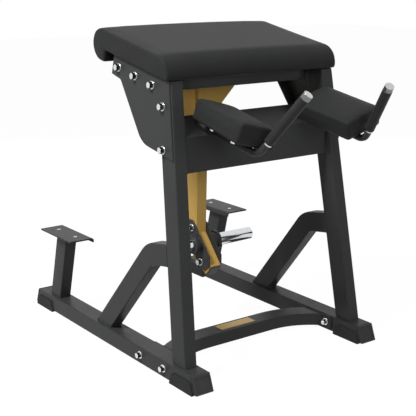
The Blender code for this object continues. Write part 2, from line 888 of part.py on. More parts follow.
def make_crossbar():
    inner = HALF_WIDTH - RUNNER_WIDTH - GAP
    reach = inner - END_PLATE / 2
    front = crossbar_edge(-CROSSBAR_DEPTH / 2, reach)
    rear = crossbar_edge(CROSSBAR_DEPTH / 2, reach)

    def mirrored(edge):
        return [Vector((-point.x, point.y)) for point in reversed(edge)]

    outline = mirrored(front) + front + list(reversed(rear)) + list(reversed(mirrored(rear)))
    bar = outline_solid("front_crossbar", outline, CROSSBAR_HEIGHT)
    bar.location.z = CROSSBAR_BOTTOM + CROSSBAR_HEIGHT / 2
    soften(bar, TUBE_EDGE)
    smooth(bar)
    half_length = END_PLATE_LENGTH / 2
    half_height = END_PLATE_HEIGHT / 2
    plate_outline = rounded(
        [
            (crossbar_end_y() - half_length, -half_height, END_PLATE_RADIUS),
            (crossbar_end_y() + half_length, -half_height, END_PLATE_RADIUS),
            (crossbar_end_y() + half_length, half_height, END_PLATE_RADIUS),
            (crossbar_end_y() - half_length, half_height, END_PLATE_RADIUS),
        ],
        steps=3,
    )
    for side, word in ((-1, "left"), (1, "right")):
        plate = side_solid(
            f"{word}_crossbar_end_plate",
            plate_outline,
            END_PLATE,
            side * (inner - END_PLATE / 2),
            cutters,
        )
        plate.location.z = CROSSBAR_BOTTOM + CROSSBAR_HEIGHT / 2
        cut(bar, plate, "UNION")
    bolt_holes(bar, crossbar_bolt_places())
    black_steel(bar)


def make_nameplate():
    place = (
        0,
        CROSSBAR_FRONT + CROSSBAR_DEPTH / 2,
        CROSSBAR_BOTTOM + CROSSBAR_HEIGHT + GAP + NAMEPLATE_SHEET / 2,
    )
    plate = box("crossbar_plate", (NAMEPLATE_LENGTH, NAMEPLATE_WIDTH, NAMEPLATE_SHEET), place)
    gold_steel(plate)


def crossbar_bolt_places():
    """The (y, z) of the bolts that hold each end plate to its runner."""
    height = CROSSBAR_BOTTOM + CROSSBAR_HEIGHT / 2
    half = CROSSBAR_BOLT_SPACING / 2
    return [(crossbar_end_y() - half, height), (crossbar_end_y() + half, height)]


def make_crossbar_bolts(side, word):
    """Through bolts, with their heads on the runner's outer side and nuts on the end plate."""
    inner = HALF_WIDTH - RUNNER_WIDTH - GAP - END_PLATE
    for which, (y, z) in zip(("front", "rear"), crossbar_bolt_places()):
        name = f"{word}_crossbar_{which}_bolt"
        through_bolt(name, (side * HALF_WIDTH, y, z), (side * inner, y, z))


# Folded cross member between the uprights, which carries the arm tubes.


def cross_face():
    return upright_front((CROSS_BOTTOM + CROSS_FOLD) / 2) + CROSS_SETBACK


def make_cross_member():
    face = cross_face()
    rise = CROSS_TOP - CROSS_FOLD
    corner = CROSS_SHEET * tan(radians(22.5))
    slip = CROSS_SHEET * sqrt(0.5)
    profile = [
        (face, CROSS_BOTTOM),
        (face + CROSS_SHEET, CROSS_BOTTOM),
        (face + CROSS_SHEET, CROSS_FOLD - corner),
        (face + rise + slip, CROSS_TOP - slip),
        (face + rise, CROSS_TOP),
        (face, CROSS_FOLD),
    ]
    member = side_solid("cross_member", profile, BASE_WIDTH, 0)
    bottom_half = tube_outer(CROSS_BOTTOM - CROSS_SPARE) - TUBE_WIDTH - GAP - CROSS_SHEET / 2
    top_half = tube_outer(CROSS_TOP + CROSS_SPARE) - TUBE_WIDTH - GAP - CROSS_SHEET / 2
    between = [
        (-bottom_half, CROSS_BOTTOM - CROSS_SPARE),
        (bottom_half, CROSS_BOTTOM - CROSS_SPARE),
        (top_half, CROSS_TOP + CROSS_SPARE),
        (-top_half, CROSS_TOP + CROSS_SPARE),
    ]
    wedge = outline_solid("cross_member_span", between, 1.0, cutters)
    wedge.rotation_euler.x = radians(90)
    cut(member, wedge, "INTERSECT")
    height = CROSS_TOP - CROSS_BOTTOM
    middle = (CROSS_TOP + CROSS_BOTTOM) / 2
    for side, word in ((-1, "left"), (1, "right")):
        front = upright_front(CROSS_BOTTOM) + CROSS_FLANGE_SETBACK
        end_outline = rounded(
            [
                (front, CROSS_BOTTOM, CROSS_FLANGE_RADIUS),
                (front + CROSS_FLANGE, CROSS_BOTTOM, CROSS_FLANGE_RADIUS),
                (front + CROSS_FLANGE + UPRIGHT_LEAN * height, CROSS_TOP, CROSS_FLANGE_RADIUS),
                (front + UPRIGHT_LEAN * height, CROSS_TOP, CROSS_FLANGE_RADIUS),
            ],
            steps=2,
        )
        inner = TUBE_CENTRE - TUBE_WIDTH / 2 - GAP - CROSS_SHEET / 2
        flange = side_solid(
            f"{word}_cross_member_flange", end_outline, CROSS_SHEET, side * inner, cutters
        )
        lean_in(flange, side)
        cut(member, flange, "UNION")
    for side, word in ((-1, "left"), (1, "right")):
        hole = cylinder(
            f"{word}_arm_tube_hole", HANDLE_DIAMETER / 2 + GAP, 6 * ARM_TUBE_OVERHANG, 20, cutters
        )
        place = arm_point(side, arm_tube_lip_run())
        hole.matrix_world = Matrix.Translation(place) @ Matrix.Rotation(
            ARM_PITCH - pi / 2, 4, "X"
        )
        cut(member, hole)
    black_steel(member)


# Arm pads on bent tubes that end in upright hand grips.


def arm_bend_height():
    """The height of the bend from which an arm tube's axis climbs to its place on the lip."""
    entry = cross_face() + ARM_ENTRY
    return CROSS_FOLD + ARM_ENTRY - (entry - ARM_BEND_FRONT) * tan(ARM_PITCH)


def arm_point(side, run):
    """A place on the straight part of an arm tube, measured back from its bend."""
    return Vector(
        (
            side * ARM_SPACING / 2,
            ARM_BEND_FRONT + run * cos(ARM_PITCH),
            arm_bend_height() + run * sin(ARM_PITCH),
        )
    )


def handle_direction(side):
    return Vector((-side * HANDLE_TOE, -HANDLE_REACH, HANDLE_RISE)).normalized()


def handle_length():
    return sqrt(HANDLE_TOE**2 + HANDLE_REACH**2 + HANDLE_RISE**2)


def arm_tube_lip_run():
    """How far behind its bend an arm tube's axis meets the leaning lip that holds it."""
    return (cross_face() + ARM_ENTRY - ARM_BEND_FRONT) / cos(ARM_PITCH)


def make_arm_tube(side, word, frame):
    corner = arm_point(side, 0)
    back = (arm_point(side, 1) - corner).normalized()
    up = handle_direction(side)
    half = back.angle(up) / 2
    centre = corner + (back + up).normalized() * (ARM_BEND_RADIUS / sin(half))
    first = corner + back * (ARM_BEND_RADIUS / tan(half)) - centre
    last = corner + up * (ARM_BEND_RADIUS / tan(half)) - centre
    axis = first.cross(last).normalized()
    turn = first.angle(last)
    steps = 8
    points = [arm_point(side, arm_tube_lip_run() + ARM_TUBE_OVERHANG)]
    for step in range(steps + 1):
        points.append(centre + Matrix.Rotation(turn * step / steps, 3, axis) @ first)
    points.append(corner + up * (handle_length() - GRIP_CAP - GAP))
    curve = bpy.data.curves.new(f"{word}_arm_tube", "CURVE")
    curve.dimensions = "3D"
    curve.bevel_depth = HANDLE_DIAMETER / 2
    curve.bevel_resolution = 3
    curve.use_fill_caps = True
    spline = curve.splines.new("POLY")
    spline.points.add(len(points) - 1)
    for point, place in zip(spline.points, points):
        point.co = (*place, 1)
    obj = bpy.data.objects.new(curve.name, curve)
    machine.objects.link(obj)
    tube = solid_from_curve(obj)
    smooth(tube)
    join_arm_pad_mount(tube, frame)
    black_steel(tube)


def stand_on_handle(obj, side, distance):
    turn = handle_direction(side).to_track_quat("Z", "Y").to_matrix().to_4x4()
    place = arm_point(side, 0) + handle_direction(side) * distance
    obj.matrix_world = Matrix.Translation(place) @ turn


def make_grip(side, word):
    bore = HANDLE_DIAMETER / 2 + GAP
    radius = GRIP_DIAMETER / 2
    length = handle_length() - GRIP_CAP - GRIP_START
    edge = GRIP_EDGE
    profile = [
        (bore, length),
        (radius - edge, length),
        (radius, length - edge),
        (radius, edge),
        (radius - edge, 0),
        (bore, 0),
        (bore, length),
    ]
    grip = turned(f"{word}_grip", profile, 20)
    stand_on_handle(grip, side, GRIP_START)
    black_rubber(grip)


def make_grip_ring(side, word):
    bore = HANDLE_DIAMETER / 2 + GAP
    sections = [(GRIP_DIAMETER / 2 - GRIP_TRIM, 0, GRIP_RING)]
    ring = turned(f"{word}_grip_ring", ring_profile(bore, sections), 20)
    stand_on_handle(ring, side, GRIP_START - GAP - GRIP_RING)
    bright_steel(ring)


def make_grip_cap(side, word):
    radius = GRIP_DIAMETER / 2 - GRIP_TRIM
    edge = GRIP_CAP_EDGE
    height = GRIP_CAP - GAP
    profile = [
        (0, height),
        (radius - edge, height),
        (radius - 0.3 * edge, height - 0.3 * edge),
        (radius, height - edge),
        (radius, 0),
        (0, 0),
    ]
    cap = turned(f"{word}_grip_cap", profile, 20)
    stand_on_handle(cap, side, handle_length() - height)
    bright_steel(cap)


def cushion(name, profile, width, edge, crown, tuck, thickness):
    """A padded block: a side profile of (length, height) spread across X, with a domed top and
    sides that draw in towards the underside."""
    pad = outline_solid(name, profile, width)
    pad.data.transform(Matrix.Rotation(radians(90), 4, "Z") @ Matrix.Rotation(radians(90), 4, "X"))
    work = bmesh.new()
    work.from_mesh(pad.data)
    for share in (-0.36, -0.18, 0, 0.18, 0.36):
        bmesh.ops.bisect_plane(
            work,
            geom=[*work.verts, *work.edges, *work.faces],
            dist=1e-6,
            plane_co=(share * width, 0, 0),
            plane_no=(1, 0, 0),
        )
    for vert in work.verts:
        across = 2 * vert.co.x / width
        height = max(0, vert.co.z / thickness)
        vert.co.z += crown * (1 - across * across) * height
        vert.co.x -= across * tuck * (1 - min(1, height))
    work.to_mesh(pad.data)
    work.free()
    soften(pad, edge, segments=3, angle=50)
    smooth(pad, 60)
    black_leather(pad)
    return pad


def arm_pad_frame(side, word):
    frame = bpy.data.objects.new(f"{word}_arm_pad_frame", None)
    machine.objects.link(frame)
    frame.location = arm_point(side, ARM_PAD_CENTRE)
    frame.rotation_euler = (ARM_PITCH, -side * ARM_ROLL, 0)
    return frame


def join_arm_pad_mount(tube, frame):
    """The plate welded along the top of an arm tube, and the four bolt heads under it."""
    radius = HANDLE_DIAMETER / 2
    sink = MOUNT_PLATE / 4
    height = MOUNT_PLATE + sink
    plate = box(
        f"{tube.name}_plate",
        (MOUNT_PLATE_WIDTH, MOUNT_PLATE_LENGTH, height),
        (0, 0, radius + MOUNT_PLATE - height / 2),
        cutters,
    )
    below = radius - sink
    seats = []
    for across in (-1, 1):
        for along in (-1, 1):
            place = (across * MOUNT_BOLT_WIDTH / 2, along * MOUNT_BOLT_LENGTH / 2, below)
            seats.append((place, (0, 0, -1)))
    overlap = height / 2
    heads = disc_group(
        f"{tube.name}_bolt_heads",
        MOUNT_BOLT_HEAD / 2,
        MOUNT_BOLT_HEIGHT + overlap,
        6,
        seats,
        (MOUNT_BOLT_HEIGHT - overlap) / 2,
    )
    for joined in (plate, heads):
        joined.parent = frame
        cut(tube, joined, "UNION")


def make_arm_pad(side, word, frame):
    pad_low = HANDLE_DIAMETER / 2 + MOUNT_PLATE + GAP
    half = ARM_PAD_LENGTH / 2
    profile = rounded(
        [
            (-half + ARM_PAD_TUCK, 0),
            (half - ARM_PAD_TUCK, 0),
            (half, ARM_PAD_THICKNESS, ARM_PAD_RADIUS),
            (-half, ARM_PAD_THICKNESS, ARM_PAD_RADIUS),
        ],
        steps=4,
    )
    pad = cushion(
        f"{word}_arm_pad",
        profile,
        ARM_PAD_WIDTH,
        ARM_PAD_EDGE,
        ARM_PAD_CROWN,
        ARM_PAD_TUCK,
        ARM_PAD_THICKNESS,
    )
    shift = side * ARM_PAD_SHIFT
    pad.parent = frame
    pad.location = (shift, 0, pad_low)
    width = ARM_PAD_WIDTH - 2 * ARM_BOARD_MARGIN
    length = ARM_PAD_LENGTH - 2 * ARM_BOARD_MARGIN
    recess = box(
        f"{word}_arm_pad_recess",
        (width + 2 * GAP, length + 2 * GAP, 2 * (ARM_BOARD + GAP)),
        (shift, 0, pad_low),
        cutters,
    )
    recess.parent = frame
    cut(pad, recess)
    place = (shift, 0, pad_low + ARM_BOARD / 2)
    board = box(f"{word}_arm_pad_board", (width, length, ARM_BOARD), place)
    board.parent = frame
    plywood(board)


# Torso pad with its board and the bent frame below it.


def pad_frame():
    frame = bpy.data.objects.new("torso_pad_frame", None)
    machine.objects.link(frame)
    frame.location = (0, PAD_FRONT, PAD_HEIGHT)
    frame.rotation_euler = (PAD_TILT, 0, 0)
    return frame


def torso_profile():
    """The pad in side view: a rounded front, a flat top and a rear roll that hangs lower."""
    rear = PAD_NOSE + PAD_LENGTH
    rear_centre = (rear - PAD_REAR_RADIUS, PAD_THICKNESS - PAD_REAR_RADIUS)
    front_centre = (PAD_NOSE + PAD_FRONT_RADIUS, PAD_THICKNESS - PAD_FRONT_RADIUS)
    step = rear - PAD_STEP
    points = [Vector((PAD_NOSE + PAD_HEEL, 0))]
    points += arc(front_centre, (PAD_FRONT_RADIUS, PAD_FRONT_RADIUS), 180, 90, 8)
    points += arc(rear_centre, (PAD_REAR_RADIUS, PAD_REAR_RADIUS), 90, -90, 14)
    points += [Vector((step, rear_centre[1] - PAD_REAR_RADIUS)), Vector((step, 0))]
    return points


def make_torso_pad(frame):
    pad = cushion(
        "torso_pad",
        torso_profile(),
        PAD_WIDTH,
        PAD_EDGE,
        PAD_CROWN,
        PAD_TUCK,
        PAD_THICKNESS,
    )
    pad.parent = frame
    length = PAD_LENGTH - PAD_STEP - 2 * BOARD_MARGIN
    width = PAD_WIDTH - 2 * BOARD_MARGIN
    middle = PAD_NOSE + BOARD_MARGIN + length / 2
    recess = box(
        "torso_pad_recess",
        (width + 2 * GAP, length + 2 * GAP, 2 * (BOARD_THICKNESS + GAP)),
        (0, middle, 0),
        cutters,
    )
    recess.parent = frame
    cut(pad, recess)
    size = (width, length, BOARD_THICKNESS)
    board = box("torso_pad_board", size, (0, middle, BOARD_THICKNESS / 2))
    board.parent = frame
    plywood(board)


def underframe_end():
    """How far along the pad the bent frame reaches, short of the pivot bearings."""
    rear = bearing_front() - UNDERFRAME_REAR_GAP
    drop = UNDERFRAME_HEIGHT + GAP
    return (rear - PAD_FRONT - drop * sin(PAD_TILT)) / cos(PAD_TILT)


def make_underframe(frame):
    """A rectangular tube bent to a U under the front of the pad, between the rails."""
    front = UNDERFRAME_FRONT
    end = underframe_end()
    half = rail_inner(under_pad(end, 0)[1]) - UNDERFRAME_SIDE_GAP
    inner = half - UNDERFRAME_WALL
    outline = rounded(
        [
            (-half, end),
            (-half, front, UNDERFRAME_RADIUS),
            (half, front, UNDERFRAME_RADIUS),
            (half, end),
            (inner, end),
            (inner, front + UNDERFRAME_WALL, UNDERFRAME_RADIUS - UNDERFRAME_WALL),
            (-inner, front + UNDERFRAME_WALL, UNDERFRAME_RADIUS - UNDERFRAME_WALL),
            (-inner, end),
        ],
        steps=7,
    )
    bent = outline_solid("pad_underframe", outline, UNDERFRAME_HEIGHT)
    bent.parent = frame
    bent.location = (0, 0, -GAP - UNDERFRAME_HEIGHT / 2)
    soften(bent, TUBE_EDGE)
    smooth(bent)
    black_steel(bent)


# Pivot shaft and its bearings, fixed to the rails.


def rail_inner(z):
    return tube_outer(z) - TUBE_WIDTH


def boss_face():
    """How far from the middle the inner end of a bearing's boss is."""
    return rail_inner(PIVOT_HEIGHT) - GAP - BEARING_PLATE / 2 - BEARING_BOSS


def bearing_front():
    return PIVOT_BACK + BEARING_DIAMETER / 2 - BEARING_LENGTH


def make_bearing(side, word):
    """A plate on the rail's inner face that hangs below the rail's end and carries a boss."""
    radius = BEARING_DIAMETER / 2
    rear = PIVOT_BACK + radius / 4
    front = bearing_front()
    outline = arc((PIVOT_BACK, PIVOT_HEIGHT), (radius, radius), 210, 370, 12)
    outline += [Vector((rear, pad_underside(rear) - BEARING_TOP_GAP))]
    outline += [Vector((front, pad_underside(front) - BEARING_TOP_GAP))]
    outline += [Vector((front, pad_underside(front) - RAIL_DEPTH / 2))]
    middle = TUBE_CENTRE - TUBE_WIDTH / 2 - GAP - BEARING_PLATE / 2
    bearing = side_solid(f"{word}_pivot_bearing", outline, BEARING_PLATE, side * middle)
    lean_in(bearing, side)
    boss = cylinder(f"{word}_bearing_boss", BEARING_BOSS_DIAMETER / 2, BEARING_BOSS, 24, cutters)
    boss.rotation_euler = (0, radians(90), 0)
    boss.location = (side * (boss_face() + BEARING_BOSS / 2), PIVOT_BACK, PIVOT_HEIGHT)
    cut(bearing, boss, "UNION")
    bore = cylinder(f"{word}_bearing_bore", SHAFT_DIAMETER / 2 + GAP, 0.2, 20, cutters)
    bore.rotation_euler = (0, radians(90), 0)
    bore.location = boss.location
    cut(bearing, bore)
    black_steel(bearing)


def make_shaft():
    play = SPLAY * SHAFT_DIAMETER / 2 + GAP
    length = 2 * (rail_inner(PIVOT_HEIGHT) - play)
    shaft = cylinder("pivot_shaft", SHAFT_DIAMETER / 2, length, 20)
    shaft.rotation_euler = (0, radians(90), 0)
    shaft.location = (0, PIVOT_BACK, PIVOT_HEIGHT)
    bright_steel(shaft)


# Pendulum. Its pieces hang from one empty on the pivot axis, so their sizes count from there.


def pendulum_frame():
    frame = bpy.data.objects.new("pendulum_frame", None)
    machine.objects.link(frame)
    frame.location = (0, PIVOT_BACK, PIVOT_HEIGHT)
    return frame


def arm_top():
    return -HUB_DIAMETER / 2 - GAP


def make_hub(frame):
    """The pivot tube with the shouldered hanger plate below it, slotted for the arm."""
    length = 2 * (boss_face() - PIVOT_CLEARANCE)
    hub = cylinder("pendulum_hub", HUB_DIAMETER / 2, length, 28)
    hub.data.transform(Matrix.Rotation(radians(90), 4, "Y"))
    hub.parent = frame
    top = HANGER_TOP_WIDTH / 2
    half = HANGER_WIDTH / 2
    foot = HANGER_FOOT / 2
    shoulder = -HANGER_SHOULDER
    taper = top - half
    lower = shoulder - taper
    bottom = -HANGER_BOTTOM
    outline = rounded(
        [
            (-top, 0),
            (-top, shoulder, HANGER_CORNER),
            (-half, lower, HANGER_SHOULDER_RADIUS),
            (-half, bottom + HANGER_FOOT_TAPER, HANGER_HIP_RADIUS),
            (-foot, bottom, HANGER_CORNER),
            (foot, bottom, HANGER_CORNER),
            (half, bottom + HANGER_FOOT_TAPER, HANGER_HIP_RADIUS),
            (half, lower, HANGER_SHOULDER_RADIUS),
            (top, shoulder, HANGER_CORNER),
            (top, 0),
        ],
        steps=3,
    )
    plate = outline_solid("hanger_plate", outline, HANGER_SHEET, cutters)
    plate.rotation_euler.x = radians(90)
    plate.location.y = HANGER_BACK
    plate.parent = frame
    cut(hub, plate, "UNION")
    slot = box(
        "hanger_slot",
        (ARM_WIDTH + 2 * GAP, 4 * HUB_DIAMETER, 1),
        (0, 0, arm_top() + GAP - 0.5),
        cutters,
    )
    slot.parent = frame
    cut(hub, slot)
    bore = cylinder("hub_bore", SHAFT_DIAMETER / 2 + PIVOT_CLEARANCE, 1.1 * length, 20, cutters)
    bore.data.transform(Matrix.Rotation(radians(90), 4, "Y"))
    bore.parent = frame
    cut(hub, bore)
    gold_steel(hub)


def arm_places():
    """The arm's corners in side view from the pivot, and its end's front and rear edge."""
    top = arm_top()
    kink = Vector((ARM_FRONT_MIDDLE, -ARM_KINK_DROP))
    toe = kink + Vector((-ARM_TOE, -ARM_TOE_DROP))
    down = (toe - kink).normalized()
    behind = Vector((-down.y, down.x))
    heel = toe + Vector((cos(ARM_END_SLANT), sin(ARM_END_SLANT))) * ARM_END_FACE
    rear_toe = toe + behind * ARM_DEPTH
    calf = rear_toe - down * ARM_CALF
    rear_x = kink.x + ARM_DEPTH
    rear_kink = calf - down * ((rear_x - calf.x) / -down.x)
    return top, kink, toe, heel, calf, rear_kink


def make_arm(frame):
    """The kinked tube of the pendulum, drawn in side view."""
    top, kink, toe, heel, calf, rear_kink = arm_places()
    outline = [
        (ARM_FRONT_TOP, top),
        tuple(kink),
        tuple(toe),
        tuple(heel),
        tuple(calf),
        tuple(rear_kink),
        (ARM_FRONT_TOP + ARM_DEPTH, top),
    ]
    arm = side_solid("pendulum_arm", outline, ARM_WIDTH, 0)
    arm.parent = frame
    soften(arm, TUBE_EDGE)
    bolt_holes(arm, SIDE_PLATE_BOLTS, frame)
    gold_steel(arm)
    slide = (heel - toe).normalized()
    up = Vector((-slide.y, slide.x))
    base = (calf - heel).normalized()
    below = Vector((base.y, -base.x))
    low_toe = toe - up * GAP
    low_calf = calf + below * GAP
    heel_inner = heel + (below - up).normalized() * GAP * 1.2
    heel_outer = heel + (below - up).normalized() * (ARM_CAP + GAP) * 1.2
    cap_outline = [
        tuple(low_toe + slide * ARM_CAP_INSET),
        tuple(heel_inner),
        tuple(low_calf - base * ARM_CAP_INSET),
        tuple(low_calf - base * ARM_CAP_INSET + below * ARM_CAP),
        tuple(heel_outer),
        tuple(low_toe + slide * ARM_CAP_INSET - up * ARM_CAP),
    ]
    cap = side_solid("arm_end_cap", cap_outline, ARM_WIDTH - ARM_CAP, 0)
    cap.parent = frame
    soften(cap, 0.001, segments=1)
    black_rubber(cap)


def make_side_plate(side, word, frame):
    """One of the two plates that hold the weight sleeves on the arm."""
    outline = rounded(SIDE_PLATE_OUTLINE, steps=3)
    x = ARM_WIDTH / 2 + GAP + SIDE_PLATE / 2
    plate = side_solid(f"{word}_sleeve_plate", outline, SIDE_PLATE, side * x)
    plate.parent = frame
    soften(plate, 0.001, segments=1)
    bolt_holes(plate, SIDE_PLATE_BOLTS, frame)
    black_steel(plate)


def make_sleeve(side, word, frame):
    start = ARM_WIDTH / 2 + SIDE_PLATE + 2 * GAP
    radius = SLEEVE_DIAMETER / 2
    place = (side * start, SLEEVE_BACK, -SLEEVE_DROP)
    turn = (0, side * radians(90), 0)
    edge = SLEEVE_EDGE
    profile = [
        (0, SLEEVE_LENGTH - edge),
        (radius - 2 * edge, SLEEVE_LENGTH - edge),
        (radius - 1.7 * edge, SLEEVE_LENGTH),
        (radius - edge, SLEEVE_LENGTH),
        (radius, SLEEVE_LENGTH - edge),
        (radius, 0),
        (0, 0),
    ]
    sleeve = turned(f"{word}_weight_sleeve", profile, 28)
    sleeve.parent = frame
    sleeve.location = place
    sleeve.rotation_euler = turn
    bright_steel(sleeve)
    bore = radius + GAP
    hub = COLLAR_HUB_DIAMETER / 2
    disc = COLLAR_DIAMETER / 2
    sections = [(hub, 0, COLLAR_HUB), (disc, COLLAR_HUB, COLLAR_HUB + COLLAR_DISC)]
    collar = turned(f"{word}_sleeve_collar", ring_profile(bore, sections), 28)
    collar.parent = frame
    collar.location = place
    collar.rotation_euler = turn
    black_steel(collar)


def make_sleeve_plate_bolts(frame):
    reach = ARM_WIDTH / 2 + GAP + SIDE_PLATE
    for which, (y, z) in zip(("upper", "lower"), SIDE_PLATE_BOLTS):
        through_bolt(f"{which}_sleeve_plate_bolt", (-reach, y, z), (reach, y, z), frame)


def centre_on_floor():
    """Moves the finished machine so that the middle of its bounding box is over the origin."""
    bpy.context.view_layer.update()
    graph = bpy.context.evaluated_depsgraph_get()
    lowest = []
    highest = []
    for obj in machine.objects:
        if obj.type != "MESH":
            continue
        evaluated = obj.evaluated_get(graph)
        places = [(evaluated.matrix_world @ vert.co).y for vert in evaluated.data.vertices]
        lowest.append(min(places))
        highest.append(max(places))
    middle = (min(lowest) + max(highest)) / 2
    for obj in [*machine.objects, *cutters.objects]:
        if obj.parent is None:
            obj.location.y -= middle


for side, word in ((-1, "left"), (1, "right")):
    make_runner(side, word)
    for end in (1, -1):
        make_end_cap(side, word, end)
        make_shoe(side, word, end)
    make_upright(side, word)
    make_brace(side, word)
    make_rail(side, word)
    make_gusset(side, word)
    make_post(side, word)
    make_step(side, word)
    make_crossbar_bolts(side, word)
    pad_stand = arm_pad_frame(side, word)
    make_arm_tube(side, word, pad_stand)
    make_grip(side, word)
    make_grip_ring(side, word)
    make_grip_cap(side, word)
    make_arm_pad(side, word, pad_stand)
    make_bearing(side, word)

make_crossbar()
make_nameplate()
make_cross_member()
make_shaft()

pad_holder = pad_frame()
make_torso_pad(pad_holder)
make_underframe(pad_holder)

pendulum = pendulum_frame()
make_hub(pendulum)
make_arm(pendulum)
for side, word in ((-1, "left"), (1, "right")):
    make_side_plate(side, word, pendulum)
    make_sleeve(side, word, pendulum)
make_sleeve_plate_bolts(pendulum)

centre_on_floor()
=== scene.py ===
import json
from math import cos, pi, radians, sin, tan

import bmesh
import bpy
import numpy as np
from mathutils import Matrix, Vector
from mathutils.bvhtree import BVHTree


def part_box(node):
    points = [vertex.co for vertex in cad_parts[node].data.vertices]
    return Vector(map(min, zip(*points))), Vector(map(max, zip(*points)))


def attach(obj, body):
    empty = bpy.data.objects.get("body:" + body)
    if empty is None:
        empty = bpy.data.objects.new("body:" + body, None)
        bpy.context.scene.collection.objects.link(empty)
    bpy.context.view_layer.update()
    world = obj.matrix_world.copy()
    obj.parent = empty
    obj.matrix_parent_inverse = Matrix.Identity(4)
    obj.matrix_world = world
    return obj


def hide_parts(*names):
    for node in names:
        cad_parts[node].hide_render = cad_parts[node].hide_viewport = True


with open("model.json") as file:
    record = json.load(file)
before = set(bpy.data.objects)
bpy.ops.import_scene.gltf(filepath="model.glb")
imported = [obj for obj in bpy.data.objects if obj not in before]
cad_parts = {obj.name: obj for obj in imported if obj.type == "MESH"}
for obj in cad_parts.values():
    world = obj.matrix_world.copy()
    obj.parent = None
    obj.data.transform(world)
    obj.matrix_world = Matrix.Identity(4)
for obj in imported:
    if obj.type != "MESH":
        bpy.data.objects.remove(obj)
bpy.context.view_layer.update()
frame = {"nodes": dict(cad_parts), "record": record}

nodes = frame["nodes"]
sideWords = {-1: "left", 1: "right"}
sameSpot = 0.00002  # points of the CAD's meshes closer than this are one


def newObject(name, data):
    thing = bpy.data.objects.new(name, data)
    bpy.context.scene.collection.objects.link(thing)
    return thing


# small helpers for shader nodes

def newMaterial(name, metallic, roughness, specular=0.5):
    material = bpy.data.materials.new(name)
    material.use_nodes = True
    tree = material.node_tree
    shader = tree.nodes["Principled BSDF"]
    shader.inputs["Metallic"].default_value = metallic
    shader.inputs["Roughness"].default_value = roughness
    shader.inputs["Specular IOR Level"].default_value = specular
    position = tree.nodes.new("ShaderNodeTexCoord")
    return material, tree, shader, position.outputs["Object"]


def noiseAt(tree, position, scale, detail=3.0, stretch=None):
    if stretch is not None:
        mapping = tree.nodes.new("ShaderNodeMapping")
        mapping.inputs["Scale"].default_value = stretch
        tree.links.new(position, mapping.inputs["Vector"])
        position = mapping.outputs["Vector"]
    grain = tree.nodes.new("ShaderNodeTexNoise")
    grain.inputs["Scale"].default_value = scale
    grain.inputs["Detail"].default_value = detail
    tree.links.new(position, grain.inputs["Vector"])
    return grain.outputs["Fac"]


def rangeOf(tree, value, fromLow, fromHigh, toLow, toHigh):
    spread = tree.nodes.new("ShaderNodeMapRange")
    spread.inputs["From Min"].default_value = fromLow
    spread.inputs["From Max"].default_value = fromHigh
    spread.inputs["To Min"].default_value = toLow
    spread.inputs["To Max"].default_value = toHigh
    tree.links.new(value, spread.inputs["Value"])
    return spread.outputs["Result"]


def blendColours(tree, factor, first, second):
    mix = tree.nodes.new("ShaderNodeMix")
    mix.data_type = "RGBA"
    tree.links.new(factor, mix.inputs["Factor"])
    for socket, colour in ((mix.inputs[6], first), (mix.inputs[7], second)):
        if isinstance(colour, tuple):
            socket.default_value = (*colour, 1.0)
        else:
            tree.links.new(colour, socket)
    return mix.outputs[2]


def bumpFrom(tree, height, strength, depth, before=None):
    bump = tree.nodes.new("ShaderNodeBump")
    bump.inputs["Strength"].default_value = strength
    bump.inputs["Distance"].default_value = depth
    tree.links.new(height, bump.inputs["Height"])
    if before is not None:
        tree.links.new(before, bump.inputs["Normal"])
    return bump.outputs["Normal"]


# finishes

powderCoat = {
    "black": (0.0475, 0.0488, 0.0485), "blackPale": (0.0502, 0.0516, 0.0512),
    "gold": (0.695, 0.434, 0.118), "goldPale": (0.730, 0.462, 0.130),
    "roughness": (0.39, 0.46), "specular": 0.12, "patchScale": 7.0, "smearScale": 23.0,
    "peelScale": 420.0, "peelStrength": 0.35, "peelDepth": 0.00022,
    "grainScale": 1500.0, "grainStrength": 0.20, "grainShare": 0.4,  # of the peel's depth
}


def makePowderCoat(name, dark, pale, settings=powderCoat):
    specular = settings["specular"]
    material, tree, shader, position = newMaterial(name, metallic=0.0, roughness=0.43, specular=specular)
    patches = noiseAt(tree, position, settings["patchScale"], 4.0)
    colour = blendColours(tree, rangeOf(tree, patches, 0.35, 0.65, 0.0, 1.0), dark, pale)
    grain = noiseAt(tree, position, settings["grainScale"], 2.0)
    specks = rangeOf(tree, grain, 0.62, 0.78, 0.0, 0.35)
    tree.links.new(blendColours(tree, specks, colour, pale), shader.inputs["Base Color"])
    low, high = settings["roughness"]
    smears = noiseAt(tree, position, settings["smearScale"], 5.0, (1.0, 1.0, 0.35))
    tree.links.new(rangeOf(tree, smears, 0.3, 0.7, low, high), shader.inputs["Roughness"])
    peel = noiseAt(tree, position, settings["peelScale"], 1.5)
    rough = bumpFrom(tree, peel, settings["peelStrength"], settings["peelDepth"])
    depth = settings["peelDepth"] * settings["grainShare"]
    tree.links.new(bumpFrom(tree, grain, settings["grainStrength"], depth, rough), shader.inputs["Normal"])
    return material


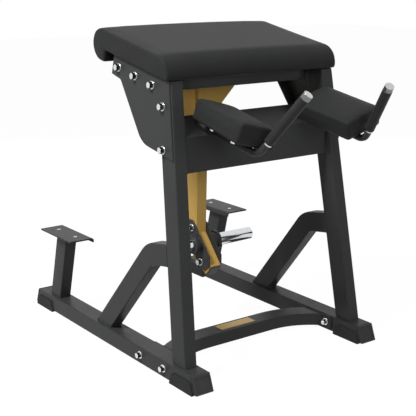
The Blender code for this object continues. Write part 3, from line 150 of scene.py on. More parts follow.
# "lines" says how strongly the fine marks of polishing show, and "lineScale" how fine they are
chromeFinish = {
    "colour": (0.70, 0.71, 0.72), "dull": (0.58, 0.59, 0.61),
    "roughness": (0.08, 0.15), "lines": 0.02, "lineScale": 700.0,
}
zincFinish = {
    "colour": (0.76, 0.77, 0.78), "dull": (0.55, 0.56, 0.58),
    "roughness": (0.20, 0.34), "lines": 0.08, "lineScale": 1100.0,
}
# a darker copy of the zinc: painted shade on the flats of bolt heads and nuts
zincPaintedShadeFinish = {
    "colour": (0.070, 0.071, 0.073), "dull": (0.030, 0.030, 0.032),
    "roughness": (0.22, 0.36), "lines": 0.08, "lineScale": 900.0,
}
# a darker copy of the grip cap's metal for its sides: painted shade
capSidePaintedShadeFinish = {
    "colour": (0.200, 0.204, 0.208), "dull": (0.120, 0.123, 0.126),
    "roughness": (0.20, 0.32), "lines": 0.04, "lineScale": 600.0,
}
capEndFinish = {
    "colour": (0.560, 0.565, 0.570), "dull": (0.450, 0.455, 0.460),
    "roughness": (0.12, 0.22), "lines": 0.04, "lineScale": 600.0,
}
cloudScale = 60.0  # the duller clouds on bare metal, about 2 cm wide


def makeBrightMetal(name, settings):
    material, tree, shader, position = newMaterial(name, metallic=1.0, roughness=0.2)
    cloud = noiseAt(tree, position, cloudScale, 4.0)
    clean = rangeOf(tree, cloud, 0.35, 0.72, 0.0, 0.40)
    colour = blendColours(tree, clean, settings["colour"], settings["dull"])
    tree.links.new(colour, shader.inputs["Base Color"])
    lines = noiseAt(tree, position, settings["lineScale"], 3.0, (0.03, 1.0, 1.0))  # drawn out along X
    low, high = settings["roughness"]
    tree.links.new(rangeOf(tree, lines, 0.3, 0.7, low, high), shader.inputs["Roughness"])
    tree.links.new(bumpFrom(tree, lines, settings["lines"], 0.00005), shader.inputs["Normal"])
    return material


leatherFinish = {
    "colour": (0.0280, 0.0287, 0.0286), "worn": (0.0310, 0.0318, 0.0316),
    "roughness": (0.44, 0.56), "specular": 0.07, "wearScale": 5.0, "fineScale": 900.0,
    "pebbleScale": 520.0, "pebbleStrength": 0.45, "pebbleDepth": 0.00030,
    "creaseScale": 26.0, "creaseStrength": 0.22, "creaseDepth": 0.0012,
}


def makeLeather(name, settings=leatherFinish):
    specular = settings["specular"]
    material, tree, shader, position = newMaterial(name, metallic=0.0, roughness=0.5, specular=specular)
    wear = rangeOf(tree, noiseAt(tree, position, settings["wearScale"], 5.0), 0.40, 0.68, 0.0, 1.0)
    colour = blendColours(tree, wear, settings["colour"], settings["worn"])
    pebbles = tree.nodes.new("ShaderNodeTexVoronoi")
    pebbles.feature = "DISTANCE_TO_EDGE"
    pebbles.inputs["Scale"].default_value = settings["pebbleScale"]
    tree.links.new(position, pebbles.inputs["Vector"])
    hills = rangeOf(tree, pebbles.outputs["Distance"], 0.0, 0.16, 0.0, 1.0)
    # the grain's valleys are painted darker: painted shade
    valleyShade = rangeOf(tree, pebbles.outputs["Distance"], 0.0, 0.05, 0.55, 0.0)
    valleyShadeColour = tuple(channel * 0.5 for channel in settings["colour"])
    tree.links.new(blendColours(tree, valleyShade, colour, valleyShadeColour), shader.inputs["Base Color"])
    low, high = settings["roughness"]
    fine = noiseAt(tree, position, settings["fineScale"], 3.0)
    tree.links.new(rangeOf(tree, fine, 0.3, 0.7, low, high), shader.inputs["Roughness"])
    creases = noiseAt(tree, position, settings["creaseScale"], 4.0)
    broad = bumpFrom(tree, creases, settings["creaseStrength"], settings["creaseDepth"])
    small = bumpFrom(tree, hills, settings["pebbleStrength"], settings["pebbleDepth"], broad)
    tree.links.new(small, shader.inputs["Normal"])
    return material


rubberFinish = {
    "colour": (0.0330, 0.0336, 0.0336), "dusty": (0.041, 0.041, 0.0405),
    "roughness": (0.60, 0.78), "specular": 0.14, "grainScale": 650.0,
}
gripFinish = {
    "colour": (0.0270, 0.0275, 0.0277), "dusty": (0.034, 0.034, 0.0345),
    "roughness": (0.50, 0.66), "specular": 0.16, "grainScale": 900.0,
}
capFinish = {
    "colour": (0.0380, 0.0388, 0.0388), "dusty": (0.046, 0.046, 0.046),
    "roughness": (0.40, 0.55), "specular": 0.20, "grainScale": 800.0,
}
dustScale = 34.0  # the paler dusty patches on rubber and plastic, about 3 cm wide


def makeMoulded(name, settings):
    specular = settings["specular"]
    material, tree, shader, position = newMaterial(name, metallic=0.0, roughness=0.6, specular=specular)
    dust = rangeOf(tree, noiseAt(tree, position, dustScale, 6.0), 0.45, 0.75, 0.0, 0.8)
    colour = blendColours(tree, dust, settings["colour"], settings["dusty"])
    tree.links.new(colour, shader.inputs["Base Color"])
    grain = noiseAt(tree, position, settings["grainScale"], 3.0)
    low, high = settings["roughness"]
    tree.links.new(rangeOf(tree, grain, 0.3, 0.7, low, high), shader.inputs["Roughness"])
    tree.links.new(bumpFrom(tree, grain, 0.4, 0.00018), shader.inputs["Normal"])
    return material


plyFinish = {
    "pale": (0.0300, 0.0270, 0.0240), "dark": (0.0180, 0.0165, 0.0150),
    "plyScale": 360.0, "figureScale": 9.0,
}


def makePlywood(name, settings=plyFinish):
    material, tree, shader, position = newMaterial(name, metallic=0.0, roughness=0.7, specular=0.3)
    figure = noiseAt(tree, position, settings["figureScale"], 6.0, (1.0, 14.0, 14.0))  # grain along X
    plies = tree.nodes.new("ShaderNodeTexWave")
    plies.bands_direction = "Z"
    plies.inputs["Scale"].default_value = settings["plyScale"] / (2 * pi)
    tree.links.new(position, plies.inputs["Vector"])
    layers = rangeOf(tree, plies.outputs["Fac"], 0.2, 0.8, 0.0, 0.35)
    wood = blendColours(tree, figure, settings["pale"], settings["dark"])
    tree.links.new(blendColours(tree, layers, wood, settings["dark"]), shader.inputs["Base Color"])
    tree.links.new(bumpFrom(tree, figure, 0.3, 0.0003), shader.inputs["Normal"])
    return material


satinGold = {
    "pale": (0.520, 0.335, 0.092), "dark": (0.390, 0.240, 0.060),
    "roughness": (0.28, 0.42), "lineScale": 900.0,
}


def makeSatinGold(name, settings=satinGold):
    material, tree, shader, position = newMaterial(name, metallic=0.35, roughness=0.35)
    lines = noiseAt(tree, position, settings["lineScale"], 2.0, (0.02, 1.0, 1.0))  # brushed along the plate
    colour = blendColours(tree, lines, settings["dark"], settings["pale"])
    tree.links.new(colour, shader.inputs["Base Color"])
    low, high = settings["roughness"]
    tree.links.new(rangeOf(tree, lines, 0.3, 0.7, low, high), shader.inputs["Roughness"])
    tree.links.new(bumpFrom(tree, lines, 0.15, 0.00006), shader.inputs["Normal"])
    return material


finishes = {
    "frame_black": makePowderCoat("blackPowderCoat", powderCoat["black"], powderCoat["blackPale"]),
    "pendulum_gold": makePowderCoat("goldPowderCoat", powderCoat["gold"], powderCoat["goldPale"]),
    "crossbar_gold": makeSatinGold("satinGoldPlate"),
    "bright_chrome": makeBrightMetal("polishedChrome", chromeFinish),
    "zinc_bolt": makeBrightMetal("brightZinc", zincFinish),
    "pad_leather": makeLeather("padLeatherette"),
    "plywood_board": makePlywood("padPlywood"),
    "shoe_rubber": makeMoulded("shoeRubber", rubberFinish),
    "grip_rubber": makeMoulded("gripRubber", gripFinish),
    "cap_plastic": makeMoulded("capPlastic", capFinish),
}
# darker copies of bare metal: painted shade on bolt flats and on the sides of the grip caps
darkZinc = makeBrightMetal("darkZinc", zincPaintedShadeFinish)
capSide = makeBrightMetal("capSide", capSidePaintedShadeFinish)
capEnd = makeBrightMetal("capEnd", capEndFinish)
print("finishes made:", len(finishes) + 3)


# CAD nodes: finish by slot, rounded edges shaded smooth

shading = {"splitAngle": 34, "sharpAngle": 38, "flatWeight": 60}


def shadeSoftly(piece, settings=shading):
    piece.data.shade_smooth()
    weld = piece.modifiers.new("weld", "WELD")
    weld.merge_threshold = sameSpot
    split = piece.modifiers.new("sharpEdges", "EDGE_SPLIT")
    split.split_angle = radians(settings["splitAngle"])
    split.use_edge_sharp = False
    flats = piece.modifiers.new("flatFaces", "WEIGHTED_NORMAL")
    flats.weight = settings["flatWeight"]


slotOf = {part["node"]: part["material_slot"] for part in frame["record"]["subparts"]}
for nodeName, node in nodes.items():
    node.data.materials.clear()
    node.data.materials.append(finishes[slotOf[nodeName]])
    if "custom_normal" in node.data.attributes:
        node.data.attributes.remove(node.data.attributes["custom_normal"])
    shadeSoftly(node)
for word in sideWords.values():
    nodes[word + "_grip_ring"].data.materials[0] = capEnd  # duller than the weight sleeves
print("CAD nodes dressed:", len(nodes))


# making pieces

def pieceFrom(bm, name, slot, body):
    bmesh.ops.recalc_face_normals(bm, faces=bm.faces)
    mesh = bpy.data.meshes.new(name)
    bm.to_mesh(mesh)
    bm.free()
    piece = newObject(name, mesh)
    mesh.materials.append(finishes[slot])
    if slot == "zinc_bolt":
        mesh.materials.append(darkZinc)  # the flats of heads and nuts: a darker copy of the zinc, painted shade
    mesh.shade_smooth()
    mesh.set_sharp_from_angle(angle=radians(shading["sharpAngle"]))
    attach(piece, body)
    return piece


def standOn(place, direction):
    return Matrix.Translation(place) @ Vector(direction).to_track_quat("Z", "Y").to_matrix().to_4x4()


def addRings(bm, rings, matrix, paintedShadeBand=None):
    # rings joined in turn and closed at both ends; one band may take the piece's second material, a darker
    # copy of its metal as painted shade
    loops = [[bm.verts.new(matrix @ Vector(point)) for point in ring] for ring in rings]
    for band, (lower, upper) in enumerate(zip(loops, loops[1:])):
        for index in range(len(lower)):
            following = (index + 1) % len(lower)
            face = bm.faces.new((lower[index], lower[following], upper[following], upper[index]))
            face.material_index = int(band == paintedShadeBand)
    bm.faces.new(list(reversed(loops[0])))
    bm.faces.new(loops[-1])


def ringOf(radii, heights):
    steps = len(radii)
    angles = [2 * pi * k / steps for k in range(steps)]
    return [(r * cos(a), r * sin(a), h) for r, a, h in zip(radii, angles, heights)]


def roundRing(radius, height, steps):
    return ringOf([radius] * steps, [height] * steps)


def addTurned(bm, profile, steps, matrix):
    addRings(bm, [roundRing(radius, height, steps) for radius, height in profile], matrix)


boltLook = {
    "washerRadius": 0.0143, "washer": 0.0033, "washerEdge": 0.0007,
    "acrossCorners": 0.0215, "head": 0.0140, "nut": 0.01288,
    "shank": 0.0050, "threadEnd": 0.0025, "turns": 7, "threadPitch": 0.00125,
    "root": 0.87, "tip": 0.78,  # shares of the shank's radius
}
hexagonLook = {"chamfer": radians(30), "rim": 0.95, "dish": 0.55, "dishDepth": 0.0004}
pointsRound = {"washer": 40, "hexagon": 48, "shank": 24, "screw": 24}


def addWasher(bm, matrix, radius, thickness, edge):
    addTurned(bm, [
        (radius - edge, 0.0), (radius, edge), (radius, thickness - edge), (radius - edge, thickness),
    ], pointsRound["washer"], matrix)


def hexRadii(acrossCorners, steps):
    # how far a hexagon's outline is from its middle, all the way round
    flat = acrossCorners / 2 * cos(pi / 6)
    return [flat / cos((2 * pi * k / steps + pi / 6) % (pi / 3) - pi / 6) for k in range(steps)]


def addHexagon(bm, matrix, acrossCorners, height, bothEnds=False, paintedShadeFlats=True):
    steps = pointsRound["hexagon"]
    rim = acrossCorners / 2 * cos(pi / 6) * hexagonLook["rim"]
    radii = hexRadii(acrossCorners, steps)
    drops = [(radius - rim) * tan(hexagonLook["chamfer"]) for radius in radii]
    rings = [ringOf(radii, [0.0] * steps)]
    if bothEnds:
        rings = [roundRing(rim, 0.0, steps), ringOf(radii, drops)]
    rings += [ringOf(radii, [height - drop for drop in drops]), roundRing(rim, height, steps)]
    rings.append(roundRing(rim * hexagonLook["dish"], height - hexagonLook["dishDepth"], steps))
    # where asked, the flats take the darker copy of the zinc as painted shade
    addRings(bm, rings, matrix, paintedShadeBand=len(rings) - 4 if paintedShadeFlats else None)


def addBoltHead(bm, place, direction, look=boltLook):
    matrix = standOn(place, direction)
    addWasher(bm, matrix, look["washerRadius"], look["washer"], look["washerEdge"])
    onWasher = matrix @ Matrix.Translation((0, 0, look["washer"]))
    addHexagon(bm, onWasher, look["acrossCorners"], look["head"])


# gusset bolts: bright washers and heads, their flats in painted shade, over the CAD's plain ones

gussetBolts = {
    "rightSide": [
        (0.36989, 0.08800, 1.06355), (0.37100, -0.02203, 1.04265), (0.37210, -0.13206, 1.02174),
        (0.37562, -0.20062, 0.95500), (0.38336, -0.21204, 0.80800),
    ],
    "lean": 0.0527, "sunk": 0.0001,
}
gussetBoltLook = dict(boltLook, washerRadius=0.0148, washer=0.0034, acrossCorners=0.0236, head=0.0143)

for side, word in sideWords.items():
    bm = bmesh.new()
    outward = Vector((side, 0, gussetBolts["lean"])).normalized()
    for x, y, z in gussetBolts["rightSide"]:
        seat = Vector((side * x, y, z)) - outward * gussetBolts["sunk"]
        addBoltHead(bm, seat, outward, gussetBoltLook)
    pieceFrom(bm, word + "GussetBoltHeads", "zinc_bolt", "frame")
print("gusset bolts made")


# through bolts of the crossbar and of the sleeve plates

crossbarBolts = {
    "outerFace": 0.4301, "innerFace": 0.3476, "y": {"front": -0.2687, "rear": -0.1167}, "z": 0.0400,
}
sleeveBolts = {"face": 0.0314, "upper": (0.1163, 0.4050), "lower": (0.0573, 0.2770)}


def throughBolt(name, headSeat, nutSeat, replaced, body, look=boltLook):
    bm = bmesh.new()
    along = (Vector(nutSeat) - Vector(headSeat)).normalized()
    addBoltHead(bm, headSeat, -along, look)
    matrix = standOn(nutSeat, along)
    addWasher(bm, matrix, look["washerRadius"], look["washer"], look["washerEdge"])
    onWasher = matrix @ Matrix.Translation((0, 0, look["washer"]))
    addHexagon(bm, onWasher, look["acrossCorners"], look["nut"], bothEnds=True)
    length = (Vector(nutSeat) - Vector(headSeat)).length
    tip = length + look["washer"] + look["head"] + look["threadEnd"]
    threadFrom = tip - look["turns"] * look["threadPitch"] - 0.001
    profile = [(look["shank"], -0.001), (look["shank"], threadFrom)]
    for turn in range(look["turns"]):  # thread crests and roots
        profile.append((look["shank"] * look["root"], threadFrom + (turn + 0.5) * look["threadPitch"]))
        profile.append((look["shank"], threadFrom + (turn + 1.0) * look["threadPitch"]))
    profile.append((look["shank"] * look["tip"], tip))
    addTurned(bm, profile, pointsRound["shank"], standOn(headSeat, along))
    piece = pieceFrom(bm, name, "zinc_bolt", body)
    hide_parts(replaced)


for side, word in sideWords.items():
    for which, y in crossbarBolts["y"].items():
        throughBolt(
            word + "Crossbar" + which.capitalize() + "Bolt",
            (side * crossbarBolts["outerFace"], y, crossbarBolts["z"]),
            (side * crossbarBolts["innerFace"], y, crossbarBolts["z"]),
            word + "_crossbar_" + which + "_bolt", "frame",
        )
for which in ("upper", "lower"):
    y, z = sleeveBolts[which]
    throughBolt(
        which + "SleevePlateBolt", (-sleeveBolts["face"], y, z), (sleeveBolts["face"], y, z),
        which + "_sleeve_plate_bolt", "pendulum",
    )
print("through bolts made")


# small screws: under the arm pads and in the steps

armBolts = {
    "place": (0.2400, -0.4035, 0.8553), "pitch": 11.1, "roll": 16.1,
    "across": 0.080, "along": 0.128, "underPlate": 0.0115,
    "washerRadius": 0.0098, "washer": 0.0018, "washerEdge": 0.0005, "acrossCorners": 0.0172, "head": 0.0058,
}
stepScrews = {
    "x": 0.3920, "y": (0.4223, 0.5623), "top": 0.3570,
    "radius": 0.0075, "dome": 0.0021, "socket": 0.0035, "socketFloor": -0.0006,
}


def armPadMatrix(side):
    turn = Matrix.Rotation(-side * radians(armBolts["roll"]), 4, "Y")
    turn = turn @ Matrix.Rotation(radians(armBolts["pitch"]), 4, "X")
    x, y, z = armBolts["place"]
    return Matrix.Translation((side * x, y, z)) @ turn


def addButtonScrew(bm, matrix, settings):
    radius, dome, socket = settings["radius"], settings["dome"], settings["socket"]
    steps = pointsRound["screw"]
    outline = [(radius, 0.0), (radius, dome * 0.35), (radius * 0.86, dome * 0.8), (socket * 1.25, dome)]
    rings = [roundRing(*spot, steps) for spot in outline]
    for height in (dome, settings["socketFloor"]):
        rings.append(ringOf(hexRadii(socket * 2, steps), [height] * steps))
    addRings(bm, rings, matrix)


for side, word in sideWords.items():
    bm = bmesh.new()
    for across, along in ((-1, -1), (-1, 1), (1, -1), (1, 1)):
        spot = (across * armBolts["across"] / 2, along * armBolts["along"] / 2, armBolts["underPlate"])
        down = armPadMatrix(side) @ Matrix.Translation(spot) @ Matrix.Rotation(pi, 4, "X")
        addWasher(bm, down, armBolts["washerRadius"], armBolts["washer"], armBolts["washerEdge"])
        onWasher = down @ Matrix.Translation((0, 0, armBolts["washer"]))
        # the arm pad bolts keep bright flats, without the painted shade
        addHexagon(bm, onWasher, armBolts["acrossCorners"], armBolts["head"], paintedShadeFlats=False)
    pieceFrom(bm, word + "ArmPadBolts", "zinc_bolt", "frame")
    bm = bmesh.new()
    for y in stepScrews["y"]:
        onStep = Matrix.Translation((side * stepScrews["x"], y, stepScrews["top"]))
        addButtonScrew(bm, onStep, stepScrews)
    pieceFrom(bm, word + "StepScrews", "zinc_bolt", "frame")
print("small screws made")


# end caps of the hand grips, turned, with a rounded rim, a bright end and sides in a darker copy of the
# metal as painted shade

capLook = {"rim": 0.0012, "dome": 0.0006, "steps": 48}


def longWay(points):
    # the middle of a straight bar's points and the direction in which it runs
    middle = points.mean(axis=0)
    values, ways = np.linalg.eigh(np.cov((points - middle).T))
    return middle, ways[:, 2]


def cornersOf(nodeName):
    node = nodes[nodeName]
    return np.array([node.matrix_world @ vertex.co for vertex in node.data.vertices])


for word in sideWords.values():
    grip, cap = cornersOf(word + "_grip"), cornersOf(word + "_grip_cap")
    middle, along = longWay(grip)
    if (cap.mean(axis=0) - middle) @ along < 0:
        along = -along
    runs = (cap - middle) @ along
    radius = np.linalg.norm(cap - middle - runs[:, None] * along, axis=1).max()
    length, rim = runs.max() - runs.min(), capLook["rim"]
    top = length + capLook["dome"]
    profile = [
        (radius, 0.0), (radius, length - rim), (radius - rim * 0.3, length - rim * 0.3),
        (radius - rim, length), (radius * 0.5, top), (0.001, top),
    ]
    bm = bmesh.new()
    rings = [roundRing(ring, height, capLook["steps"]) for ring, height in profile]
    # the side band takes the darker copy of the metal: painted shade
    addRings(bm, rings, standOn(Vector(middle + runs.min() * along), along), paintedShadeBand=0)
    piece = pieceFrom(bm, word + "GripEndCap", "bright_chrome", "frame")
    piece.data.materials[0] = capEnd
    piece.data.materials.append(capSide)
    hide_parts(word + "_grip_cap")
print("grip caps made")


# weld beads where the tubes meet

weldLook = {
    "radius": 0.0024, "ripple": 0.10, "pitch": 0.0042, "step": 0.0016, "corners": 8, "proud": 0.0003,
    "crossbarEnd": 0.3470, "armTubeRoot": (0.24, -0.22, 0.89),
    "lift": {"level": 0.0006, "upright": 0.0012, "lip": 0.0008},  # off the face that the bead lies on
}


def sectionLoops(nodeName, point, normal):
    # the closed outlines where a plane cuts a node
    bm = bmesh.new()
    bm.from_mesh(nodes[nodeName].data)
    bmesh.ops.remove_doubles(bm, verts=bm.verts, dist=sameSpot)
    everything = bm.verts[:] + bm.edges[:] + bm.faces[:]
    bmesh.ops.bisect_plane(
        bm, geom=everything, plane_co=point, plane_no=normal, clear_inner=True, clear_outer=True,
    )
    bmesh.ops.remove_doubles(bm, verts=bm.verts, dist=sameSpot)
    loops, seen = [], set()
    for start in bm.verts:
        if start in seen or len(start.link_edges) != 2:
            continue
        loop, vertex, previous = [], start, None
        while vertex not in seen:
            seen.add(vertex)
            loop.append(vertex.co.copy())
            ways = [edge.other_vert(vertex) for edge in vertex.link_edges]
            onward = [other for other in ways if other is not previous and other not in seen]
            previous = vertex
            if onward:
                vertex = onward[0]
        if len(loop) > 3:
            loops.append(loop)
    bm.free()
    return loops


def evenSteps(loop, step):
    points = []
    for first, second in zip(loop, loop[1:] + loop[:1]):
        count = max(1, round((second - first).length / step))
        points += [first.lerp(second, k / count) for k in range(count)]
    return points


def addBead(bm, loop, normal, settings=weldLook):
    points = evenSteps(loop, settings["step"])
    normal = Vector(normal).normalized()
    middle = sum(points, Vector()) / len(points)
    angles = [2 * pi * k / settings["corners"] for k in range(settings["corners"])]
    travelled, rings = 0.0, []
    for index, point in enumerate(points):
        before, after = points[index - 1], points[(index + 1) % len(points)]
        travelled += (point - before).length
        tangent = (after - before).normalized()
        outward = tangent.cross(normal).normalized()
        if outward.dot(point - middle) < 0:
            outward.negate()
        ripple = 1 + settings["ripple"] * cos(2 * pi * travelled / settings["pitch"])
        radius = settings["radius"] * ripple
        centre = point + outward * settings["proud"]
        rings.append([centre + radius * (cos(a) * outward + sin(a) * normal) for a in angles])
    loops = [[bm.verts.new(corner) for corner in ring] for ring in rings]
    for lower, upper in zip(loops, loops[1:] + loops[:1]):
        for k in range(len(lower)):
            after = (k + 1) % len(lower)
            bm.faces.new((lower[k], lower[after], upper[after], upper[k]))


def flatFace(nodeName, direction):
    # the middle and normal of the node's biggest flat face that looks that way
    best = (0.0, None, None)
    for face in nodes[nodeName].data.polygons:
        if face.area > best[0] and face.normal.dot(Vector(direction)) > 0.85:
            best = (face.area, face.center.copy(), face.normal.copy())
    return best[1], best[2]


def nearest(loops, place):
    return min(loops, key=lambda loop: (sum(loop, Vector()) / len(loop) - Vector(place)).length)


def addBeads(bm, nodeName, point, normal):
    for loop in sectionLoops(nodeName, point, normal):
        addBead(bm, loop, normal)


floorTube = 0.0691  # the top of the base runners
lift = weldLook["lift"]
for side, word in sideWords.items():
    bm = bmesh.new()
    for nodeName in ("_upright", "_brace", "_post"):
        addBeads(bm, word + nodeName, (0, 0, floorTube + lift["level"]), (0, 0, 1))
    middle, normal = flatFace(word + "_upright", (0, 1, 0))
    for nodeName in ("_brace", "_pad_rail"):
        addBeads(bm, word + nodeName, middle + normal * lift["upright"], normal)
    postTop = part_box(word + "_post")[1].z
    addBeads(bm, word + "_post", (0, 0, postTop - lift["level"]), (0, 0, 1))
    addBeads(bm, "front_crossbar", (side * weldLook["crossbarEnd"], 0, 0), (1, 0, 0))
    middle, normal = flatFace("cross_member", (0, -0.707, 0.707))
    loops = sectionLoops(word + "_arm_tube", middle + normal * lift["lip"], normal)
    x, y, z = weldLook["armTubeRoot"]
    addBead(bm, nearest(loops, (side * x, y, z)), normal)
    pieceFrom(bm, word + "WeldBeads", "frame_black", "frame")
print("weld beads made")


# cushions: swollen with cloth from the CAD's solids, held where they rest on their boards

armCushion = {
    "voxel": 0.0040, "shrink": 0.0018, "mostMove": 0.0042, "evenRounds": 20, "pitch": 11.1, "fill": 0.9,
}
cushionLook = {
    "torso_pad": {
        "name": "torsoCushion", "board": "torso_pad_board", "voxel": 0.0048, "shrink": 0.0016,
        "mostMove": 0.0048, "evenRounds": 30, "pitch": 10.76, "roll": 0.0, "fill": 0.9,
    },
    "left_arm_pad": dict(armCushion, name="leftArmCushion", board="left_arm_pad_board", roll=16.1),
    "right_arm_pad": dict(armCushion, name="rightArmCushion", board="right_arm_pad_board", roll=-16.1),
}
coverLook = {
    "pressure": 4.0, "quality": 4, "mass": 0.25, "stretch": 14, "shear": 6, "bending": 1.2, "lastFrame": 20,
    "fixedWithin": 0.004, "looseOver": 0.018,  # metres from the board
    "fixedBelow": -0.92, "easeOver": 0.30,  # how far the cover faces down, where -1 is straight down
    "freeFrom": 0.98, "seamEase": 1.5,  # shares above this aren't held, and how soon the swelling starts
    "keeps": 0.35, "takes": 0.65,  # a point's own share and its neighbours' in each round of evening
}


def zeroToOne(value):
    return min(1.0, max(0.0, value))


def heldShare(mesh, board, up):
    # 0 where the cover is fixed to the board or rests on the frame, 1 where it is free
    tree = BVHTree.FromObject(nodes[board], bpy.context.evaluated_depsgraph_get())
    shares = np.ones(len(mesh.vertices))
    for index, vertex in enumerate(mesh.vertices):
        reach = tree.find_nearest(vertex.co)[3]
        fromBoard = zeroToOne((reach - coverLook["fixedWithin"]) / coverLook["looseOver"])
        facing = vertex.normal.dot(up)
        fromBelow = zeroToOne((facing - coverLook["fixedBelow"]) / coverLook["easeOver"])
        shares[index] = min(fromBoard, fromBelow)
    return shares


def evenOut(mesh, values, rounds):
    # each value moves towards the middle of its neighbours', as a taut cover does
    edges = np.zeros(len(mesh.edges) * 2, dtype=int)
    mesh.edges.foreach_get("vertices", edges)
    first, second = edges[0::2], edges[1::2]
    links = np.bincount(edges, minlength=len(values))
    for turn in range(rounds):
        total = np.bincount(first, values[second], len(values))
        total += np.bincount(second, values[first], len(values))
        values = coverLook["keeps"] * values + coverLook["takes"] * total / np.maximum(links, 1)
    return values


def bakeModifiers(piece):
    graph = bpy.context.evaluated_depsgraph_get()
    piece.data = bpy.data.meshes.new_from_object(piece.evaluated_get(graph))
    piece.modifiers.clear()


def swell(cushion, shares, settings):
    scene = bpy.context.scene
    count = len(cushion.data.vertices)
    start = np.zeros(count * 3)
    cushion.data.vertices.foreach_get("co", start)
    held = cushion.vertex_groups.new(name="held")
    for index, share in enumerate(shares):
        if share < coverLook["freeFrom"]:
            held.add([index], 1.0 - float(share), "REPLACE")
    cloth = cushion.modifiers.new("swell", "CLOTH")
    cloth.settings.quality = coverLook["quality"]
    cloth.settings.mass = coverLook["mass"]
    cloth.settings.tension_stiffness = coverLook["stretch"]
    cloth.settings.compression_stiffness = coverLook["stretch"]
    cloth.settings.shear_stiffness = coverLook["shear"]
    cloth.settings.bending_stiffness = coverLook["bending"]
    cloth.settings.use_pressure = True
    cloth.settings.uniform_pressure_force = coverLook["pressure"]
    cloth.settings.effector_weights.gravity = 0
    cloth.settings.vertex_group_mass = "held"
    cloth.point_cache.frame_start = 1
    cloth.point_cache.frame_end = coverLook["lastFrame"]
    for frameNumber in range(1, coverLook["lastFrame"] + 1):
        scene.frame_set(frameNumber)
    graph = bpy.context.evaluated_depsgraph_get()
    swollen = bpy.data.meshes.new_from_object(cushion.evaluated_get(graph))
    end = np.zeros(count * 3)
    swollen.vertices.foreach_get("co", end)
    normals = np.zeros(count * 3)
    cushion.data.vertices.foreach_get("normal", normals)
    normals = normals.reshape(-1, 3)
    rise = ((end - start).reshape(-1, 3) * normals).sum(axis=1)  # only the swelling, without wrinkles
    rise = np.clip(rise, 0.0, settings["mostMove"] * shares)
    rise = evenOut(cushion.data, rise, settings["evenRounds"])
    move = normals * (rise * np.minimum(1.0, shares * coverLook["seamEase"]))[:, None]
    swollen.vertices.foreach_set("co", start + move.ravel())
    cushion.modifiers.clear()
    cushion.vertex_groups.clear()
    cushion.data = swollen
    scene.frame_set(1)


def makeCushion(nodeName, settings):
    mesh = nodes[nodeName].data.copy()
    mesh.name = settings["name"]
    cushion = newObject(settings["name"], mesh)
    bm = bmesh.new()
    bm.from_mesh(mesh)
    bmesh.ops.remove_doubles(bm, verts=bm.verts, dist=sameSpot)
    bm.to_mesh(mesh)
    bm.free()
    remesh = cushion.modifiers.new("evenSkin", "REMESH")
    remesh.mode = "VOXEL"
    remesh.voxel_size = settings["voxel"]
    bakeModifiers(cushion)
    pitch, roll = radians(settings["pitch"]), radians(settings["roll"])
    up = (Matrix.Rotation(roll, 3, "Y") @ Matrix.Rotation(pitch, 3, "X")) @ Vector((0, 0, 1))
    shares = heldShare(cushion.data, settings["board"], up)
    skin = cushion.data.vertices
    inwards = [vertex.normal * (-settings["shrink"] * share) for vertex, share in zip(skin, shares)]
    for vertex, inward in zip(skin, inwards):
        vertex.co += inward
    swell(cushion, shares, settings)
    relax = cushion.modifiers.new("relax", "SMOOTH")
    relax.factor = 0.5
    relax.iterations = 1
    fine = cushion.modifiers.new("fine", "SUBSURF")
    fine.levels = 1
    fine.render_levels = 1
    bakeModifiers(cushion)
    cushion.data.materials.clear()
    cushion.data.materials.append(finishes["pad_leather"])
    cushion.data.shade_smooth()
    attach(cushion, "frame")
    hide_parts(nodeName)
    print("cushion made:", settings["name"], len(cushion.data.polygons), "faces")


for nodeName, settings in cushionLook.items():
    makeCushion(nodeName, settings)


# floor, light and camera

studio = {
    "floorSize": 30.0, "floorWhite": 0.32, "glow": 1.22, "shadowShare": 0.20, "roomGrey": 0.025,
    "key": {"place": (-2.9, -0.3, 4.0), "aim": (0.0, 0.0, 0.6), "size": 1.5, "power": 184.0},
    "fill": {"place": (-0.6, -4.6, 1.9), "aim": (0.0, 0.0, 0.6), "size": 2.2, "power": 58.0},
    "rear": {"place": (2.4, 3.6, 1.2), "aim": (0.0, 0.0, 0.6), "size": 2.4, "power": 60.0, "glossy": False},
    "camera": {"place": (-2.156, -2.8837, 1.418), "tilt": 14.236, "turn": -36.304, "lens": 82.66},
}


def whiteToTheEye(tree):
    # 1 for rays from the camera, from gloss and through glass, else 0
    path = tree.nodes.new("ShaderNodeLightPath")
    total = path.outputs["Is Camera Ray"]
    for kind in ("Is Glossy Ray", "Is Transmission Ray"):
        most = tree.nodes.new("ShaderNodeMath")
        most.operation = "MAXIMUM"
        tree.links.new(total, most.inputs[0])
        tree.links.new(path.outputs[kind], most.inputs[1])
        total = most.outputs[0]
    return total


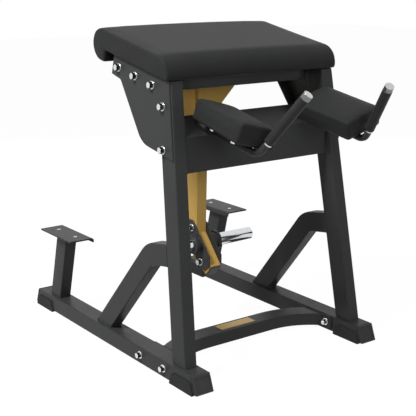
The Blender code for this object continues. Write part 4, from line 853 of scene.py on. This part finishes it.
def makeFloor():
    half = studio["floorSize"] / 2
    mesh = bpy.data.meshes.new("floor")
    corners = [(-half, -half, 0), (half, -half, 0), (half, half, 0), (-half, half, 0)]
    mesh.from_pydata(corners, [], [(0, 1, 2, 3)])
    floor = newObject("floor", mesh)
    material = bpy.data.materials.new("studioFloor")
    material.use_nodes = True
    tree = material.node_tree
    tree.nodes.clear()
    output = tree.nodes.new("ShaderNodeOutputMaterial")
    lit = tree.nodes.new("ShaderNodeBsdfDiffuse")
    paint = studio["floorWhite"]
    lit.inputs["Color"].default_value = (paint, paint, paint, 1)
    white = tree.nodes.new("ShaderNodeEmission")
    white.inputs["Strength"].default_value = studio["glow"]
    share = tree.nodes.new("ShaderNodeMath")
    share.operation = "MULTIPLY"
    share.inputs[1].default_value = 1.0 - studio["shadowShare"]
    tree.links.new(whiteToTheEye(tree), share.inputs[0])
    mix = tree.nodes.new("ShaderNodeMixShader")
    tree.links.new(share.outputs[0], mix.inputs[0])
    tree.links.new(lit.outputs[0], mix.inputs[1])
    tree.links.new(white.outputs[0], mix.inputs[2])
    tree.links.new(mix.outputs[0], output.inputs["Surface"])
    mesh.materials.append(material)


def makeRoom():
    world = bpy.data.worlds.new("studioRoom")
    bpy.context.scene.world = world
    world.use_nodes = True
    tree = world.node_tree
    tree.nodes.clear()
    output = tree.nodes.new("ShaderNodeOutputWorld")
    grey = tree.nodes.new("ShaderNodeBackground")
    grey.inputs["Strength"].default_value = studio["roomGrey"]
    white = tree.nodes.new("ShaderNodeBackground")
    mix = tree.nodes.new("ShaderNodeMixShader")
    tree.links.new(whiteToTheEye(tree), mix.inputs[0])
    tree.links.new(grey.outputs[0], mix.inputs[1])
    tree.links.new(white.outputs[0], mix.inputs[2])
    tree.links.new(mix.outputs[0], output.inputs["Surface"])
    for background in (grey, white):
        background.inputs["Color"].default_value = (1, 1, 1, 1)


def makeLamp(name, settings):
    light = bpy.data.lights.new(name, "AREA")
    light.shape = "DISK"
    light.size = settings["size"]
    light.energy = settings["power"]
    lamp = newObject(name, light)
    lamp.location = settings["place"]
    lamp.visible_glossy = settings.get("glossy", True)  # the rear lamp isn't mirrored in the flat tops
    aim = Vector(settings["aim"]) - Vector(settings["place"])
    lamp.rotation_euler = aim.to_track_quat("-Z", "Y").to_euler()


def makeCamera():
    settings = studio["camera"]
    lens = bpy.data.cameras.new("photoView")
    lens.lens = settings["lens"]
    lens.sensor_width = 36
    camera = newObject("photoView", lens)
    camera.location = settings["place"]
    camera.rotation_euler = (radians(90 - settings["tilt"]), 0, radians(settings["turn"]))
    bpy.context.scene.camera = camera


makeFloor()
makeRoom()
makeLamp("keyLight", studio["key"])
makeLamp("fillLight", studio["fill"])
makeLamp("rearLight", studio["rear"])
makeCamera()
bpy.context.scene.view_settings.view_transform = "Standard"
print("studio made")
